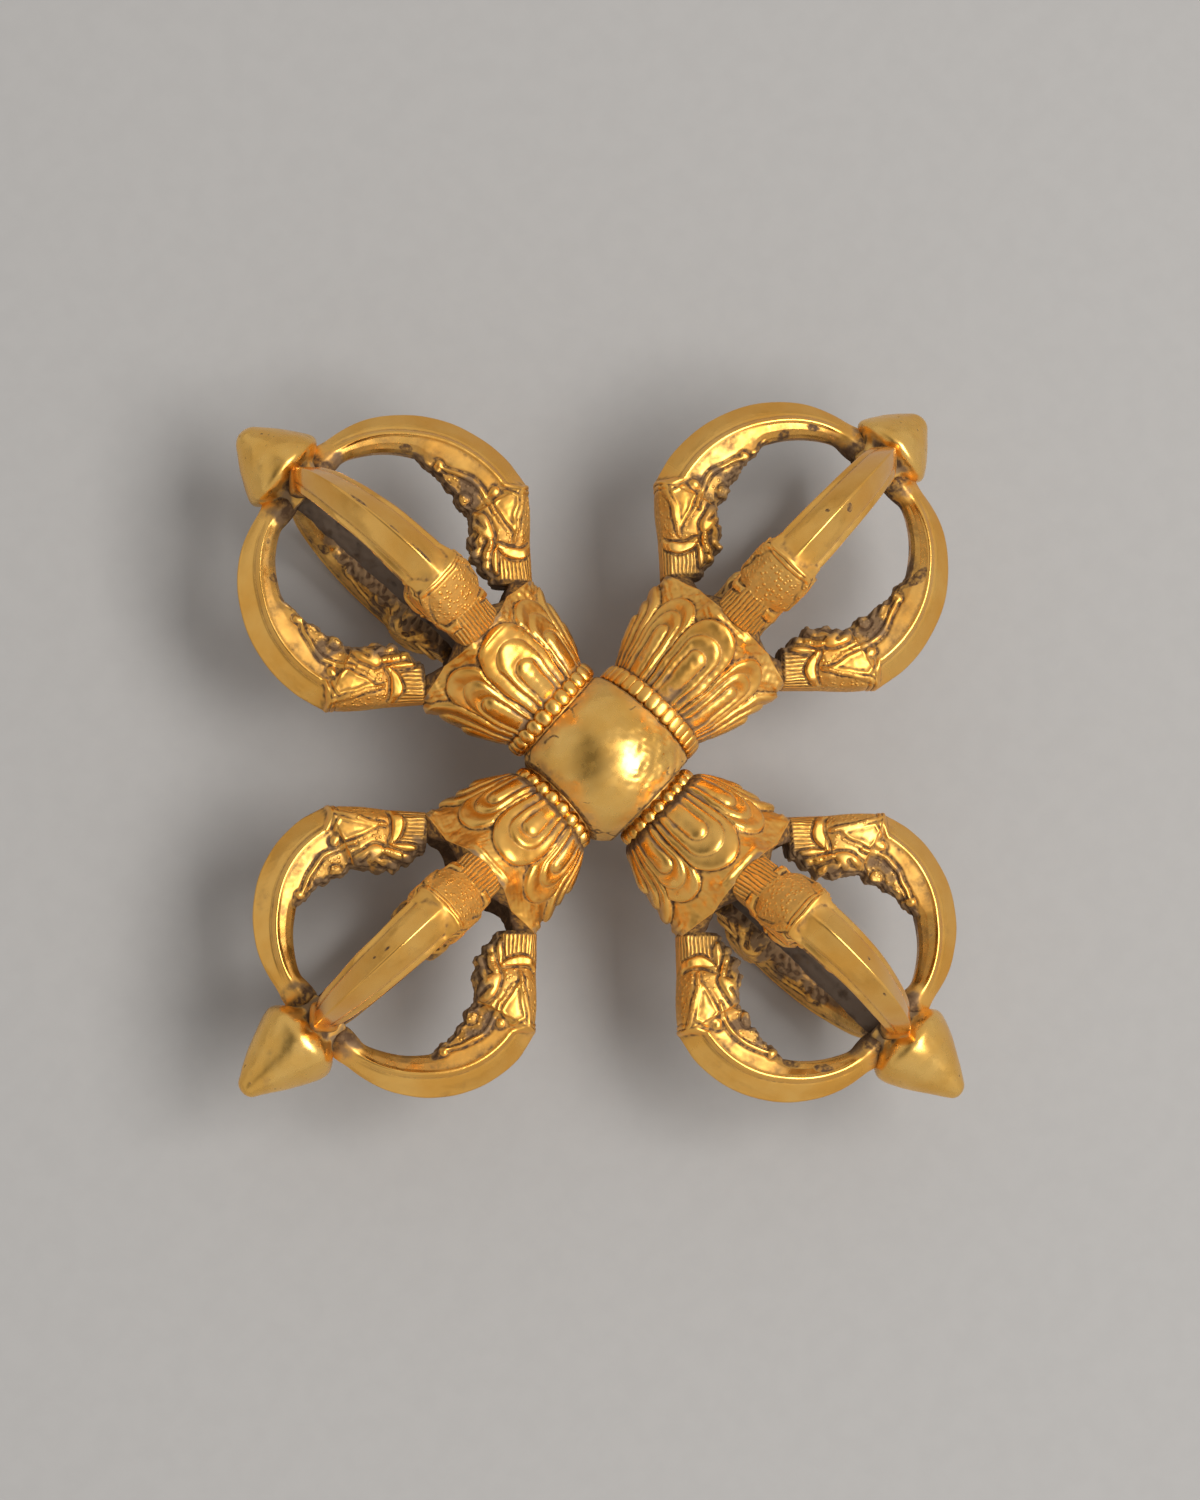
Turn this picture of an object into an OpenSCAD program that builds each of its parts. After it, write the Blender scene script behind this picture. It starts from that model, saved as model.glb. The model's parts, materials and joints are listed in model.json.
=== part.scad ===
// Crossed ritual sceptre: four arms on a ball hub, each a lotus cup with five prongs and a bud finial.
// Lengths are in millimetres. The arms lie level, and the origin is on the ground below the hub's centre.

/* [Hub] */
// Diameter of the ball where the arms cross
hub_d = 23.6; // [21:0.2:30]
// Least diameter of the flat seat under each collar
seat_d = 14.4; // [10:0.2:16]
// Distance from the hub's centre to the seat of the east collar
east_seat_x = 7.6; // [7:0.1:10.6]
// Distance from the hub's centre to the seat of the north collar
north_seat_x = 9.1; // [7:0.1:10.6]
// Distance from the hub's centre to the seat of the west collar
west_seat_x = 9.2; // [7:0.1:10.6]
// Distance from the hub's centre to the seat of the south collar
south_seat_x = 8.6; // [7:0.1:10.6]
// Metal left between the ends of neighbouring tang holes
hub_web = 1.8; // [1:0.1:3]

/* [Arm directions] */
// Swing of the east arm from square, degrees
east_swing = 1.0; // [-4:0.1:4]
// Swing of the north arm from square, degrees
north_swing = 2.2; // [-4:0.1:4]
// Swing of the west arm from square, degrees
west_swing = -3.7; // [-4:0.1:4]
// Swing of the south arm from square, degrees
south_swing = 0.5; // [-4:0.1:4]

/* [Beaded collars] */
// Outer diameter of the east collar
east_collar_d = 17.4; // [13:0.1:22]
// Beads round the east collar
east_beads = 34; // [14:1:36]
// Outer diameter of the north collar
north_collar_d = 16.4; // [13:0.1:22]
// Beads round the north collar
north_beads = 24; // [14:1:36]
// Outer diameter of the west collar
west_collar_d = 14.4; // [13:0.1:22]
// Beads round the west collar
west_beads = 19; // [14:1:36]
// Outer diameter of the south collar
south_collar_d = 13.8; // [13:0.1:22]
// Beads round the south collar
south_beads = 20; // [14:1:36]
// Gap between one bead and the next
bead_gap = 0.1; // [0.05:0.05:0.3]
// Thickness of the plain fillet on the hub's side of the beads
fillet_t = 0.4; // [0.3:0.1:1.5]
// Step from the tops of the beads down to the fillet's edge
fillet_step = 0.5; // [0.2:0.1:0.9]
// Thickness of the plain lip between the beads and the cup
lip_t = 0.25; // [0.2:0.05:1]
// Least gap between neighbouring collars
collar_gap = 0.2; // [0.1:0.1:1]

/* [Lotus cups] */
// Diameter of the cup's foot on its collar
cup_foot_d = 12.6; // [10:0.2:15]
// Length of the shortest cup, from its foot to the corners of its rim
cup_l = 13.3; // [10:0.1:18]
// Distance from the arm's axis to the outer edge of each rim corner
corner_r = 12.3; // [11:0.1:14]
// Radius of the rim midway between two corners
side_r = 9.6; // [9:0.1:10.5]
// How far the rim between the corners stands out past the corners' outer edges
side_rise = 0.8; // [0.2:0.1:1.5]
// Thickness of the rim between the corners
rim_t = 0.7; // [0.5:0.1:1]
// Width of the sloping seat at each corner, down towards the dish
corner_seat = 3.0; // [2.6:0.1:3.6]
// Depth of the dish below the rim between the corners
dish_depth = 1.6; // [1:0.1:2]
// Diameter of the dish's floor
dish_d = 14.6; // [10:0.2:15]
// Height of the petals on the cup's flank
petal_relief = 0.6; // [0.2:0.1:1]

/* [Makara heads and horns] */
// Slope of the head's outer line from the arm's axis, degrees
head_slope = 46.2; // [42:0.2:52]
// Radius of the horn's outer curve, before an arm's stretch
horn_r = 18.7; // [17:0.1:22]
// Stretch of the east horns along the arm, taken from the length of their bud
east_stretch = 2.0; // [-2.2:0.1:2.2]
// Stretch of the north horns along the arm, taken from the length of their bud
north_stretch = 1.7; // [-2.2:0.1:2.2]
// Stretch of the west horns along the arm, taken from the length of their bud
west_stretch = -1.5; // [-2.2:0.1:2.2]
// Stretch of the south horns along the arm, taken from the length of their bud
south_stretch = -0.8; // [-2.2:0.1:2.2]
// Where the horn leaves the head, degrees round the horn's centre
elbow_a = 108.5; // [100:0.5:114]
// Where the lower jaw ends, degrees round the horn's centre
jaw_a = 56; // [45:1:70]
// Length of the ribbed neck
neck_l = 4.6; // [3:0.1:6]
// Width of the neck at its foot
foot_w = 7.0; // [5.6:0.1:7.6]
// Width of the head at its widest
head_w = 9.0; // [7.5:0.1:10]
// Width of the horn where it leaves the head
horn_w = 7.3; // [5.5:0.1:8]
// Width of the horn at its end
tip_w = 3.6; // [2.8:0.1:5]
// Depth of the neck at its foot, from the outer face to the inner
foot_h = 6.4; // [5.6:0.1:7]
// Depth of the neck where it meets the head
neck_h = 8.8; // [7.5:0.1:9.6]
// Depth of the head at the elbow
head_h = 10.0; // [8.5:0.1:11]
// Depth of horn and jaw together at the jaw's tip
jaw_h = 7.1; // [6.6:0.1:8]
// Depth of the horn just past the jaw
horn_h = 6.2; // [5:0.1:6.5]
// Depth of the horn at its end
tip_h = 3.7; // [3:0.1:4.5]
// Depth of the horn's side ridges below its outer ridge
ridge_drop = 2.4; // [1.5:0.1:2.6]
// Depth of the flat worn on each crest
crest_wear = 0.3; // [0.2:0.05:0.5]

/* [Centre prongs] */
// Side of the square bar
bar_w = 4.5; // [4.2:0.1:6]
// Diameter of the round tang through cup and collar into the hub
tang_d = 4.0; // [2.5:0.1:4.2]
// Diameter of the tenon in the finial
tenon_d = 3.2; // [2:0.1:3.8]
// Length of the tenon in the finial
tenon_l = 3.2; // [2:0.1:3.6]

/* [Finials] */
// Width of the square block that the horns end on
block_w = 8.8; // [7.6:0.1:10]
// Block left on each side of a horn's end, along the arm
block_lip = 0.4; // [0.2:0.1:1]
// Length of the bud past the block, before an arm's stretch
bud_l = 10.3; // [8:0.1:14]
// Diameter of the bud across its ridges
bud_d = 12.4; // [10:0.1:15]
// Diameter of the bud across its hollows
bud_facet_d = 10.5; // [9:0.1:12]
// Distance from the block to the bud's widest place, before an arm's stretch
bud_belly = 2.3; // [1.5:0.1:4]
// Diameter of the bud's blunt tip
bud_tip_d = 1.4; // [0.8:0.1:2.5]

/* [Pins and holes] */
// Diameter of the pin under each prong's foot
foot_pin_d = 1.8; // [1.2:0.1:1.9]
// Length of the pin under each prong's foot
foot_pin_l = 2.0; // [1.2:0.1:2.2]
// Diameter of the pin on each horn's end
tip_pin_d = 1.5; // [1:0.1:2]
// Metal left between the horns' pins and the tenon in the block
pin_web = 0.6; // [0.4:0.1:1]
// Radial clearance of every pin, tenon and tang in its hole
fit_gap = 0.05; // [0.02:0.01:0.08]
// Room left past the end of every pin, tenon and tang
end_gap = 0.2; // [0.1:0.05:0.4]

/* [Hidden] */
ARMS = ["east", "north", "west", "south"];
ARM_PIECES = ["beaded_collar", "lotus_cup", "centre_prong", "finial"];
SIDES = ["front", "left", "back", "right"];
// Turn of each side's prong about its arm, from the one that faces up
SIDE_TURN = [0, -90, 180, 90];
ARM_SWING = [east_swing, north_swing, west_swing, south_swing];
SEAT_X = [east_seat_x, north_seat_x, west_seat_x, south_seat_x];
COLLAR_R = [east_collar_d, north_collar_d, west_collar_d, south_collar_d] / 2;
BEADS = [east_beads, north_beads, west_beads, south_beads];
STRETCH = [east_stretch, north_stretch, west_stretch, south_stretch];

GILT = "#C99A3F";
PALE_GILT = "#D9B25A";
DARK_BRONZE = "#5E5347";
ROUND_FN = 48;
BEAD_FN = 20;
// Length by which joined solids run into each other
LAP = 0.8;

// Steps round a corner of the cup, and between a corner and the middle of a side
CORNER_STEPS = 2;
SIDE_STEPS = 4;
FLANK_ROWS = 9;
// Share of the flank that the petals cover
PETAL_END = 0.75;
// Swell of the flank towards the corners and towards the sides: lower is fuller
CORNER_SWELL = 0.6;
SIDE_SWELL = 0.3;
// How deeply the rim draws in between corners: 1.7 is straight
RIM_DRAW = 2.2;

HEAD_RINGS = 9;
JAW_RINGS = 7;
HORN_RINGS = 9;
// Stations along a prong: 0 at its foot, 1 at the elbow, 2 at the horn's end
CHEEK = 0.8;
MOUTH = 1.06;
JAW_STEP = 0.05;
// How late the jaw and the horn thin and narrow towards their ends: 1 is an even taper
JAW_THINNING = 2;
HORN_THINNING = 1.2;
HORN_NARROWING = 2.2;
// Section of the head, as shares of its depth and half width, from the outer line round to the inner
HEAD_DEPTHS = [0, 0.06, 0.3, 0.75, 1];
HEAD_WIDTHS = [0, 0.62, 1, 0.95, 0.55];
// Half widths of the horn's section, from its outer ridge over the side ridge to its inner face
HORN_WIDTHS = [0, 0.58, 1, 0.8, 0.5];

BUD_COLUMNS = 24;
BELLY_ROWS = 4;
TAPER_ROWS = 6;
// Width of the bud where it leaves the block, as a share of the block
BUD_BASE = 0.9;
// Sharpness of the bud's ridges, and how late it tapers: 1 is an even taper
RIDGE_SHARPNESS = 1.5;
BUD_TAPER = 1.3;

hub_r = hub_d / 2;
// Where the ball is as wide as the least seat, past which a seat stands on a boss
ball_seat_x = sqrt(pow(hub_r, 2) - pow(seat_d / 2, 2));
// Seats are pushed out together where neighbouring collars would not clear each other
seat_push = max(0, max([for (i = [0 : 3]) collar_overlap(i, (i + 1) % 4)]) + collar_gap);
tang_x = tang_d / 2 + hub_web;

collar_t = fillet_t + max([for (i = [0 : 3]) bead_d(i)]) + lip_t;

// Outer edge of the foot of a prong, on the corner of the cup
foot_x = max([for (i = [0 : 3]) cup_x(i)]) + cup_l;
corner_half_a = atan(foot_w / 2 / corner_r);
dish_x = foot_x + side_rise - dish_depth;

// The horn's curve ends square on the finial's block, which sets the head's length
horn_z = block_w / 2;
elbow_z = horn_z + horn_r * sin(elbow_a);
head_l = (elbow_z - corner_r) / sin(head_slope);
elbow_x = foot_x + head_l * cos(head_slope);
rest_h = horn_z + horn_r - crest_wear;
neck_station = neck_l / head_l;
jaw_station = 2 - jaw_a / elbow_a;

block_l = tip_h + 2 * block_lip;
tip_pin_l = block_w / 2 - tenon_d / 2 - pin_web;

function mix(a, b, t) = a + (b - a) * t;
function bearing(i) = 90 * i + ARM_SWING[i];

// Half length of the horn's curve along arm i, the middle of that curve, and the middle of the horn's end
function horn_l(i) = horn_r + STRETCH[i] / (1 - cos(elbow_a));
function horn_x(i) = elbow_x - horn_l(i) * cos(elbow_a);
function tip_x(i) = horn_x(i) + horn_l(i) - tip_h / 2;

// Where the block and the bud of arm i start, and the bud's length: buds end at the same reach on every arm
function block_x(i) = tip_x(i) - block_l / 2;
function bud_x(i) = block_x(i) + block_l;
function bud_length(i) = bud_l - STRETCH[i];

// Seats of the collar, the beads and the cup of arm i
function seat_x(i) = SEAT_X[i] + seat_push;
function cup_x(i) = seat_x(i) + collar_t;
function bead_x(i) = (seat_x(i) + fillet_t + cup_x(i) - lip_t) / 2;

// How far collars i and j, on arms side by side, must move out before one of them clears the other
function collar_overlap(i, j) =
    let (turn = (bearing(j) - bearing(i) + 360) % 360)
    let (lean = max(0, cos(turn)))
    min((COLLAR_R[j] + COLLAR_R[i] * lean) / sin(turn) - SEAT_X[i],
        (COLLAR_R[i] + COLLAR_R[j] * lean) / sin(turn) - SEAT_X[j]);

// Beads of this diameter fill the collar's rim, one gap apart
function bead_d(i) =
    let (half_step = sin(180 / BEADS[i]))
    (2 * COLLAR_R[i] * half_step - bead_gap) / (1 + half_step);

function mean_point(points) = [for (p = points) 1] * points / len(points);

// Closed skin over rings of equal length, with a fan over each end
module skin(rings) {
    n = len(rings[0]);
    last = (len(rings) - 1) * n;
    end_points = [mean_point(rings[0]), mean_point(rings[len(rings) - 1])];
    points = concat([for (ring = rings) each ring], end_points);
    sides = [
        for (r = [0 : len(rings) - 2], c = [0 : n - 1])
            let (a = r * n + c, b = r * n + (c + 1) % n)
            each [[a, b, b + n], [a, b + n, a + n]]
    ];
    ends = [
        for (c = [0 : n - 1])
            let (d = (c + 1) % n)
            each [[len(points) - 2, d, c], [len(points) - 1, last + c, last + d]]
    ];
    polyhedron(points, concat(sides, ends), convexity = 6);
}

// Frames: an arm's axis runs along its own X, and a side's prong stands up along its own Z
module on_arm(i) {
    translate([0, 0, rest_h])
        rotate([0, 0, bearing(i)])
            children();
}

module on_side(k) {
    rotate([SIDE_TURN[k], 0, 0])
        children();
}

// Middle of the seat on a cup's corner, with Z square to the seat
module at_foot() {
    along = corner_seat / 2;
    translate([foot_x + along * sin(head_slope), 0, corner_r - along * cos(head_slope)])
        rotate([0, 90 - head_slope, 0])
            children();
}

// Middle of the horn's end on the face of arm i's block
module at_tip(i) {
    translate([tip_x(i), 0, block_w / 2])
        children();
}

// Round bar along the arm from one place to another
module rod(from, to, d) {
    translate([from, 0, 0])
        rotate([0, 90, 0])
            cylinder(h = to - from, d = d, $fn = ROUND_FN);
}

// Pin, or the cut for its hole, below a seat at the origin
module pin(l, d) {
    translate([0, 0, -l])
        cylinder(h = l + LAP, d = d, $fn = ROUND_FN);
}

module hub() {
    color(PALE_GILT)
        difference() {
            union() {
                translate([0, 0, rest_h])
                    sphere(r = hub_r, $fn = 2 * ROUND_FN);
                for (i = [0 : 3])
                    if (seat_x(i) > ball_seat_x)
                        on_arm(i)
                            rod(0, seat_x(i) + LAP, seat_d);
            }
            for (i = [0 : 3])
                on_arm(i) {
                    rod(seat_x(i), seat_x(i) + hub_d, 2 * hub_d);
                    rod(tang_x - end_gap, seat_x(i) + LAP, tang_d + 2 * fit_gap);
                }
        }
}

module beaded_collar(i) {
    bead_r = bead_d(i) / 2;
    core_r = COLLAR_R[i] - bead_r;
    color(GILT)
        on_arm(i)
            difference() {
                union() {
                    rod(seat_x(i), cup_x(i), 2 * core_r);
                    rod(seat_x(i), seat_x(i) + fillet_t, 2 * (COLLAR_R[i] - fillet_step));
                    for (b = [0 : BEADS[i] - 1])
                        rotate([(b + 0.5) * 360 / BEADS[i], 0, 0])
                            translate([bead_x(i), 0, core_r])
                                sphere(r = bead_r, $fn = BEAD_FN);
                }
                rod(seat_x(i) - LAP, cup_x(i) + LAP, tang_d + 2 * fit_gap);
            }
}

// Angles of the cup's columns from one corner, across it and both half sides
function cup_angles() = concat(
    [for (j = [SIDE_STEPS : -1 : 1]) -mix(corner_half_a, 45, j / SIDE_STEPS)],
    [for (j = [-CORNER_STEPS : CORNER_STEPS]) corner_half_a * j / CORNER_STEPS],
    [for (j = [1 : SIDE_STEPS - 1]) mix(corner_half_a, 45, j / SIDE_STEPS)]
);

// How far a column lies from the corner towards the middle of the side, 0 to 1
function side_share(a) = max(0, abs(a) - corner_half_a) / (45 - corner_half_a);

// Rim of the cup: a straight edge at each corner, drawn in between
function rim_r(a) =
    let (v = side_share(a))
    v == 0 ? corner_r / cos(a) : mix(side_r, corner_r / cos(corner_half_a), pow(1 - v, RIM_DRAW));

// Flank radius at share u of the cup's length: round at the foot, four-cornered at the rim, with eight petals
function flank_r(u, a) =
    mix(cup_foot_d / 2, rim_r(a), pow(u, mix(CORNER_SWELL, SIDE_SWELL, side_share(a))))
    + petal_relief * sin(180 * min(1, u / PETAL_END)) * abs(cos(4 * a));

function flank_x(i, u, a) = mix(cup_x(i), foot_x + side_rise * side_share(a), u);

function round_point(x, r, a) = [x, r * sin(a), r * cos(a)];

// Inner edge of the rim: down the sloping seat at a corner, straight in between corners
function rim_inner(i, a) =
    let (v = side_share(a))
    let (down_seat = [corner_seat * sin(head_slope), 0, -corner_seat * cos(head_slope)])
    let (straight_in = -rim_t * round_point(0, 1, a))
    round_point(flank_x(i, 1, a), rim_r(a), a) + mix(down_seat, straight_in, v);

function about_arm(p, turn) =
    [p.x, p.y * cos(turn) + p.z * sin(turn), p.z * cos(turn) - p.y * sin(turn)];

function cup_ring(i, row) = [
    for (quarter = [0 : 3], a = cup_angles())
        let (u = min(1, row / FLANK_ROWS))
        about_arm(row <= FLANK_ROWS ? round_point(flank_x(i, u, a), flank_r(u, a), a)
                  : row == FLANK_ROWS + 1 ? rim_inner(i, a)
                  : round_point(dish_x, dish_d / 2, a), 90 * quarter)
];

module lotus_cup(i) {
    color(GILT)
        on_arm(i)
            difference() {
                skin([for (row = [0 : FLANK_ROWS + 2]) cup_ring(i, row)]);
                rod(cup_x(i) - LAP, dish_x + LAP, tang_d + 2 * fit_gap);
                for (k = [0 : 3])
                    on_side(k)
                        at_foot()
                            pin(foot_pin_l + end_gap, foot_pin_d + 2 * fit_gap);
            }
}

module centre_prong(i) {
    color(DARK_BRONZE)
        on_arm(i) {
            translate([dish_x, 0, 0])
                rotate([45, 0, 0])
                    translate([0, -bar_w / 2, -bar_w / 2])
                        cube([block_x(i) - dish_x, bar_w, bar_w]);
            rod(tang_x, dish_x + LAP, tang_d);
            rod(block_x(i) - LAP, block_x(i) + tenon_l, tenon_d);
        }
}

// Depth of a prong at a station: neck, head, jaw thinning to its tip, then the bare horn
function prong_depth(t) =
    t <= 1 ? lookup(t, [[0, foot_h], [neck_station, neck_h], [1, head_h]])
    : t <= jaw_station ? mix(head_h, jaw_h, pow((t - 1) / (jaw_station - 1), JAW_THINNING))
    : let (past = max(0, t - jaw_station - JAW_STEP) / (2 - jaw_station - JAW_STEP))
      mix(horn_h, tip_h, pow(past, HORN_THINNING));

// Half width of a prong at a station
function prong_half(t) =
    (t <= 1 ? lookup(t, [[0, foot_w], [neck_station, foot_w], [CHEEK, head_w], [1, head_w]])
     : t <= MOUTH ? mix(head_w, horn_w, (t - 1) / (MOUTH - 1))
     : mix(horn_w, tip_w, pow((t - MOUTH) / (2 - MOUTH), HORN_NARROWING))) / 2;

// Outer line of a prong on arm i: straight up the head, then round the horn's curve
function prong_outer(i, t) =
    t <= 1 ? [foot_x + t * head_l * cos(head_slope), corner_r + t * head_l * sin(head_slope)]
    : let (a = elbow_a * (2 - t)) [horn_x(i) + horn_l(i) * cos(a), horn_z + horn_r * sin(a)];

// Direction out of the section: square to the head's line at its foot, turning to the horn's centre
function prong_turn(t) = t <= 1 ? mix(head_slope + 90, elbow_a, t) : elbow_a * (2 - t);

// Section of a prong, from the outer line round one side to the inner face and back
function prong_ring(i, t) =
    let (h = prong_depth(t), w = prong_half(t), a = prong_turn(t), o = prong_outer(i, t))
    let (horny = min(1, max(0, (t - 1) / (MOUTH - 1))))
    let (horn_depths = [0, ridge_drop / 2, ridge_drop, (ridge_drop + h) / 2, h])
    let (depths = mix(HEAD_DEPTHS * h, horn_depths, horny))
    let (halves = mix(HEAD_WIDTHS, HORN_WIDTHS, horny) * w)
    [for (s = [0, 1, 2, 3, 4, -4, -3, -2, -1])
        let (d = depths[abs(s)])
        [o.x - d * cos(a), sign(s) * halves[abs(s)], o.y - d * sin(a)]];

// Stations of a prong's rings: even steps up the head, then even steps to the jaw's tip and on to the end
PRONG_STATIONS = concat(
    [for (j = [0 : HEAD_RINGS]) j / HEAD_RINGS],
    [for (j = [0 : JAW_RINGS]) mix(MOUTH, jaw_station, j / JAW_RINGS)],
    [for (j = [0 : HORN_RINGS]) mix(jaw_station + JAW_STEP, 2, j / HORN_RINGS)]
);

module outer_prong(i, k) {
    color(GILT)
        on_arm(i)
            on_side(k)
                difference() {
                    union() {
                        skin([for (t = PRONG_STATIONS) prong_ring(i, t)]);
                        at_foot()
                            pin(foot_pin_l, foot_pin_d);
                        at_tip(i)
                            pin(tip_pin_l, tip_pin_d);
                    }
                    translate([horn_x(i) - horn_l(i), -head_w, rest_h])
                        cube([2 * horn_l(i), 2 * head_w, horn_r]);
                }
}

// Bud of a finial: a four-ridged section that swells from the block and tapers to a blunt tip
function bud_section(share, a) =
    let (off_ridge = abs((a + 45) % 90 - 45) / 45)
    mix(bud_d, bud_facet_d, 1 - pow(1 - off_ridge, RIDGE_SHARPNESS)) / 2 * share;

function bud_ring(x, share) = [
    for (c = [0 : BUD_COLUMNS - 1])
        let (a = 360 * c / BUD_COLUMNS)
        round_point(x, bud_section(share, a), a)
];

module finial(i) {
    base = BUD_BASE * block_w / bud_d;
    belly = bud_belly * bud_length(i) / bud_l;
    swell = [
        for (j = [0 : BELLY_ROWS])
            let (u = j / BELLY_ROWS)
            [bud_x(i) + u * belly, mix(base, 1, sin(90 * u))]
    ];
    taper = [
        for (j = [1 : TAPER_ROWS])
            let (v = j / TAPER_ROWS)
            [bud_x(i) + mix(belly, bud_length(i), v), mix(1, bud_tip_d / bud_d, pow(v, BUD_TAPER))]
    ];
    rows = concat([[bud_x(i) - LAP, base]], swell, taper);
    color(PALE_GILT)
        on_arm(i)
            difference() {
                union() {
                    translate([block_x(i), -block_w / 2, -block_w / 2])
                        cube([block_l, block_w, block_w]);
                    skin([for (row = rows) bud_ring(row[0], row[1])]);
                }
                rod(block_x(i) - LAP, block_x(i) + tenon_l + end_gap, tenon_d + 2 * fit_gap);
                for (k = [0 : 3])
                    on_side(k)
                        at_tip(i)
                            pin(tip_pin_l + end_gap, tip_pin_d + 2 * fit_gap);
            }
}

hub();
for (i = [0 : 3]) {
    beaded_collar(i);
    lotus_cup(i);
    centre_prong(i);
    finial(i);
    for (k = [0 : 3])
        outer_prong(i, k);
}
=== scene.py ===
"""Crossed vajra of gilt copper alloy: cast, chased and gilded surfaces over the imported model."""

import json
import logging
from dataclasses import dataclass, field
from enum import Enum

import bpy
import numpy as np
from mathutils import Matrix, Vector


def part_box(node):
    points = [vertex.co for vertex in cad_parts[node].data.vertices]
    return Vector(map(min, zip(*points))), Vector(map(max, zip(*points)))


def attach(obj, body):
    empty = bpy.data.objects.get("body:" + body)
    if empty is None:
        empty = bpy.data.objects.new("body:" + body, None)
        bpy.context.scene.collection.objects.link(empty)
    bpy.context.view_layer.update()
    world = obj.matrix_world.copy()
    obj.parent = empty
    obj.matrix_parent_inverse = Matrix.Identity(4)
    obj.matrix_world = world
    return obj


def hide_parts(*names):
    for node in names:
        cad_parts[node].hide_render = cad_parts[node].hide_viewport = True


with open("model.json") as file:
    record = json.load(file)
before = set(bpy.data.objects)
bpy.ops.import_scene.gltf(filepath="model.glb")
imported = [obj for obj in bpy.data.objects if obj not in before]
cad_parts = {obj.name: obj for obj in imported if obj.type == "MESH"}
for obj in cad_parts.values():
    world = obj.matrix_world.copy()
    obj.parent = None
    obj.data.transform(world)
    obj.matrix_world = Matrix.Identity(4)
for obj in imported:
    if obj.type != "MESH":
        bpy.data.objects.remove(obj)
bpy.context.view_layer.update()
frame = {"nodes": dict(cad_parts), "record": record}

log = logging.getLogger("crossed_vajra")

Grid = np.ndarray
Piece = bpy.types.Object
Socket = bpy.types.NodeSocket
Colour = tuple[float, float, float]
Path = tuple[tuple[float, float], ...]

MM = 0.001
BODY = "root"
ARMS = ("east", "north", "west", "south")
FIELDS = ("relief", "shade", "dull", "ribs", "ribbed", "punched")
SEED_STEP = 100
SEAT_SLOPE = np.radians(46.2)
CORNER_SEAT = 3.0


class Side(Enum):
    """Side of an arm that a prong stands on, with its turn about the arm in degrees."""

    FRONT = 0
    LEFT = -90
    BACK = 180
    RIGHT = 90


class BeadForm(Enum):
    """Form of a collar's beads: a superellipsoid's power, 2 for round and more for squarer, and its wear.

    The further values are the height as a share of the width, the depth of the gaps in millimetres,
    how dark the gaps are made, with dirt and painted shade, and how dull the beads are, 0 to 1.
    """

    ROUND = (2.0, 1.0, 0.8, 0.95, 0.35)
    SQUARISH = (2.5, 0.85, 0.8, 0.95, 0.35)
    FLAT = (3.0, 0.6, 0.5, 0.5, 0.75)

    def __init__(self, power: float, height: float, gap_depth: float, gap_soil_and_shade: float, dull: float) -> None:
        """Take the values of one form."""
        self.power = power
        self.height = height
        self.gap_depth = gap_depth
        self.gap_soil_and_shade = gap_soil_and_shade
        self.dull = dull


class Section(Enum):
    """Cross-section of a raised line: half round, or flat with rounded edges."""

    ROUND = 2
    BAND = 5


def mix(a: Grid | float, b: Grid | float, share: Grid | float) -> Grid | float:
    """Value at a share of the way from a to b."""
    return a + (b - a) * share


def ramp(x: Grid, low: float | Grid, high: float | Grid) -> Grid:
    """Smooth step from 0 at low to 1 at high."""
    share = np.clip((x - low) / (high - low), 0.0, 1.0)
    return share * share * (3.0 - 2.0 * share)


def mound(gap: Grid, reach: float | Grid) -> Grid:
    """Soft hump: the square of one less the squared share of the reach, 1 at no gap and 0 past the reach."""
    return np.clip(1.0 - (gap / reach) ** 2, 0.0, None) ** 2


def window_mean(values: Grid, reach: int, axis: int, mode: str) -> Grid:
    """Mean of each value and its neighbours along one axis.

    Args:
        values: field on the grid.
        reach: neighbours taken on each side.
        axis: axis along which the window runs.
        mode: padding at the ends, "wrap" where the grid closes on itself, else "edge".

    Returns:
        The averaged field, of the same shape.
    """
    first = np.moveaxis(values, axis, 0)
    wide = np.pad(first, [(reach + 1, reach)] + [(0, 0)] * (first.ndim - 1), mode=mode)
    total = np.cumsum(wide, axis=0)
    width = 2 * reach + 1
    return np.moveaxis((total[width:] - total[:-width]) / width, 0, axis)


def soften(values: Grid, rows: int, columns: int) -> Grid:
    """Field averaged over a window of rows and columns, with the columns running round."""
    return window_mean(window_mean(values, rows, 0, "edge"), columns, 1, "wrap")


def around(columns: int) -> Grid:
    """Angles of the columns of a ring, as one row."""
    return np.linspace(0.0, 2.0 * np.pi, columns, endpoint=False)[None]


def turned(along: Grid, radius: Grid, angle: Grid) -> Grid:
    """Rings about an arm: places along it, and the radius times the sine and the cosine of the angle."""
    return np.stack([along + 0.0 * angle, radius * np.sin(angle), radius * np.cos(angle)], -1)


def globe(rows: int, columns: int) -> Grid:
    """Unit vectors over a ball: rings by the sine and cosine of two angles, with poles on the first axis."""
    polar = np.linspace(0.0, np.pi, rows + 2)[1:-1, None]
    angle = around(columns)
    flat = [np.sin(polar) * np.cos(angle), np.sin(polar) * np.sin(angle)]
    return np.stack([np.cos(polar) + 0.0 * angle, *flat], -1)


def round_off(points: Grid, passes: int) -> Grid:
    """Rings with each point drawn to the middle of its neighbours, a quarter from each, in several passes."""
    for _ in range(passes):
        points = 0.5 * points + 0.25 * (np.roll(points, 1, 1) + np.roll(points, -1, 1))
    return points


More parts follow.
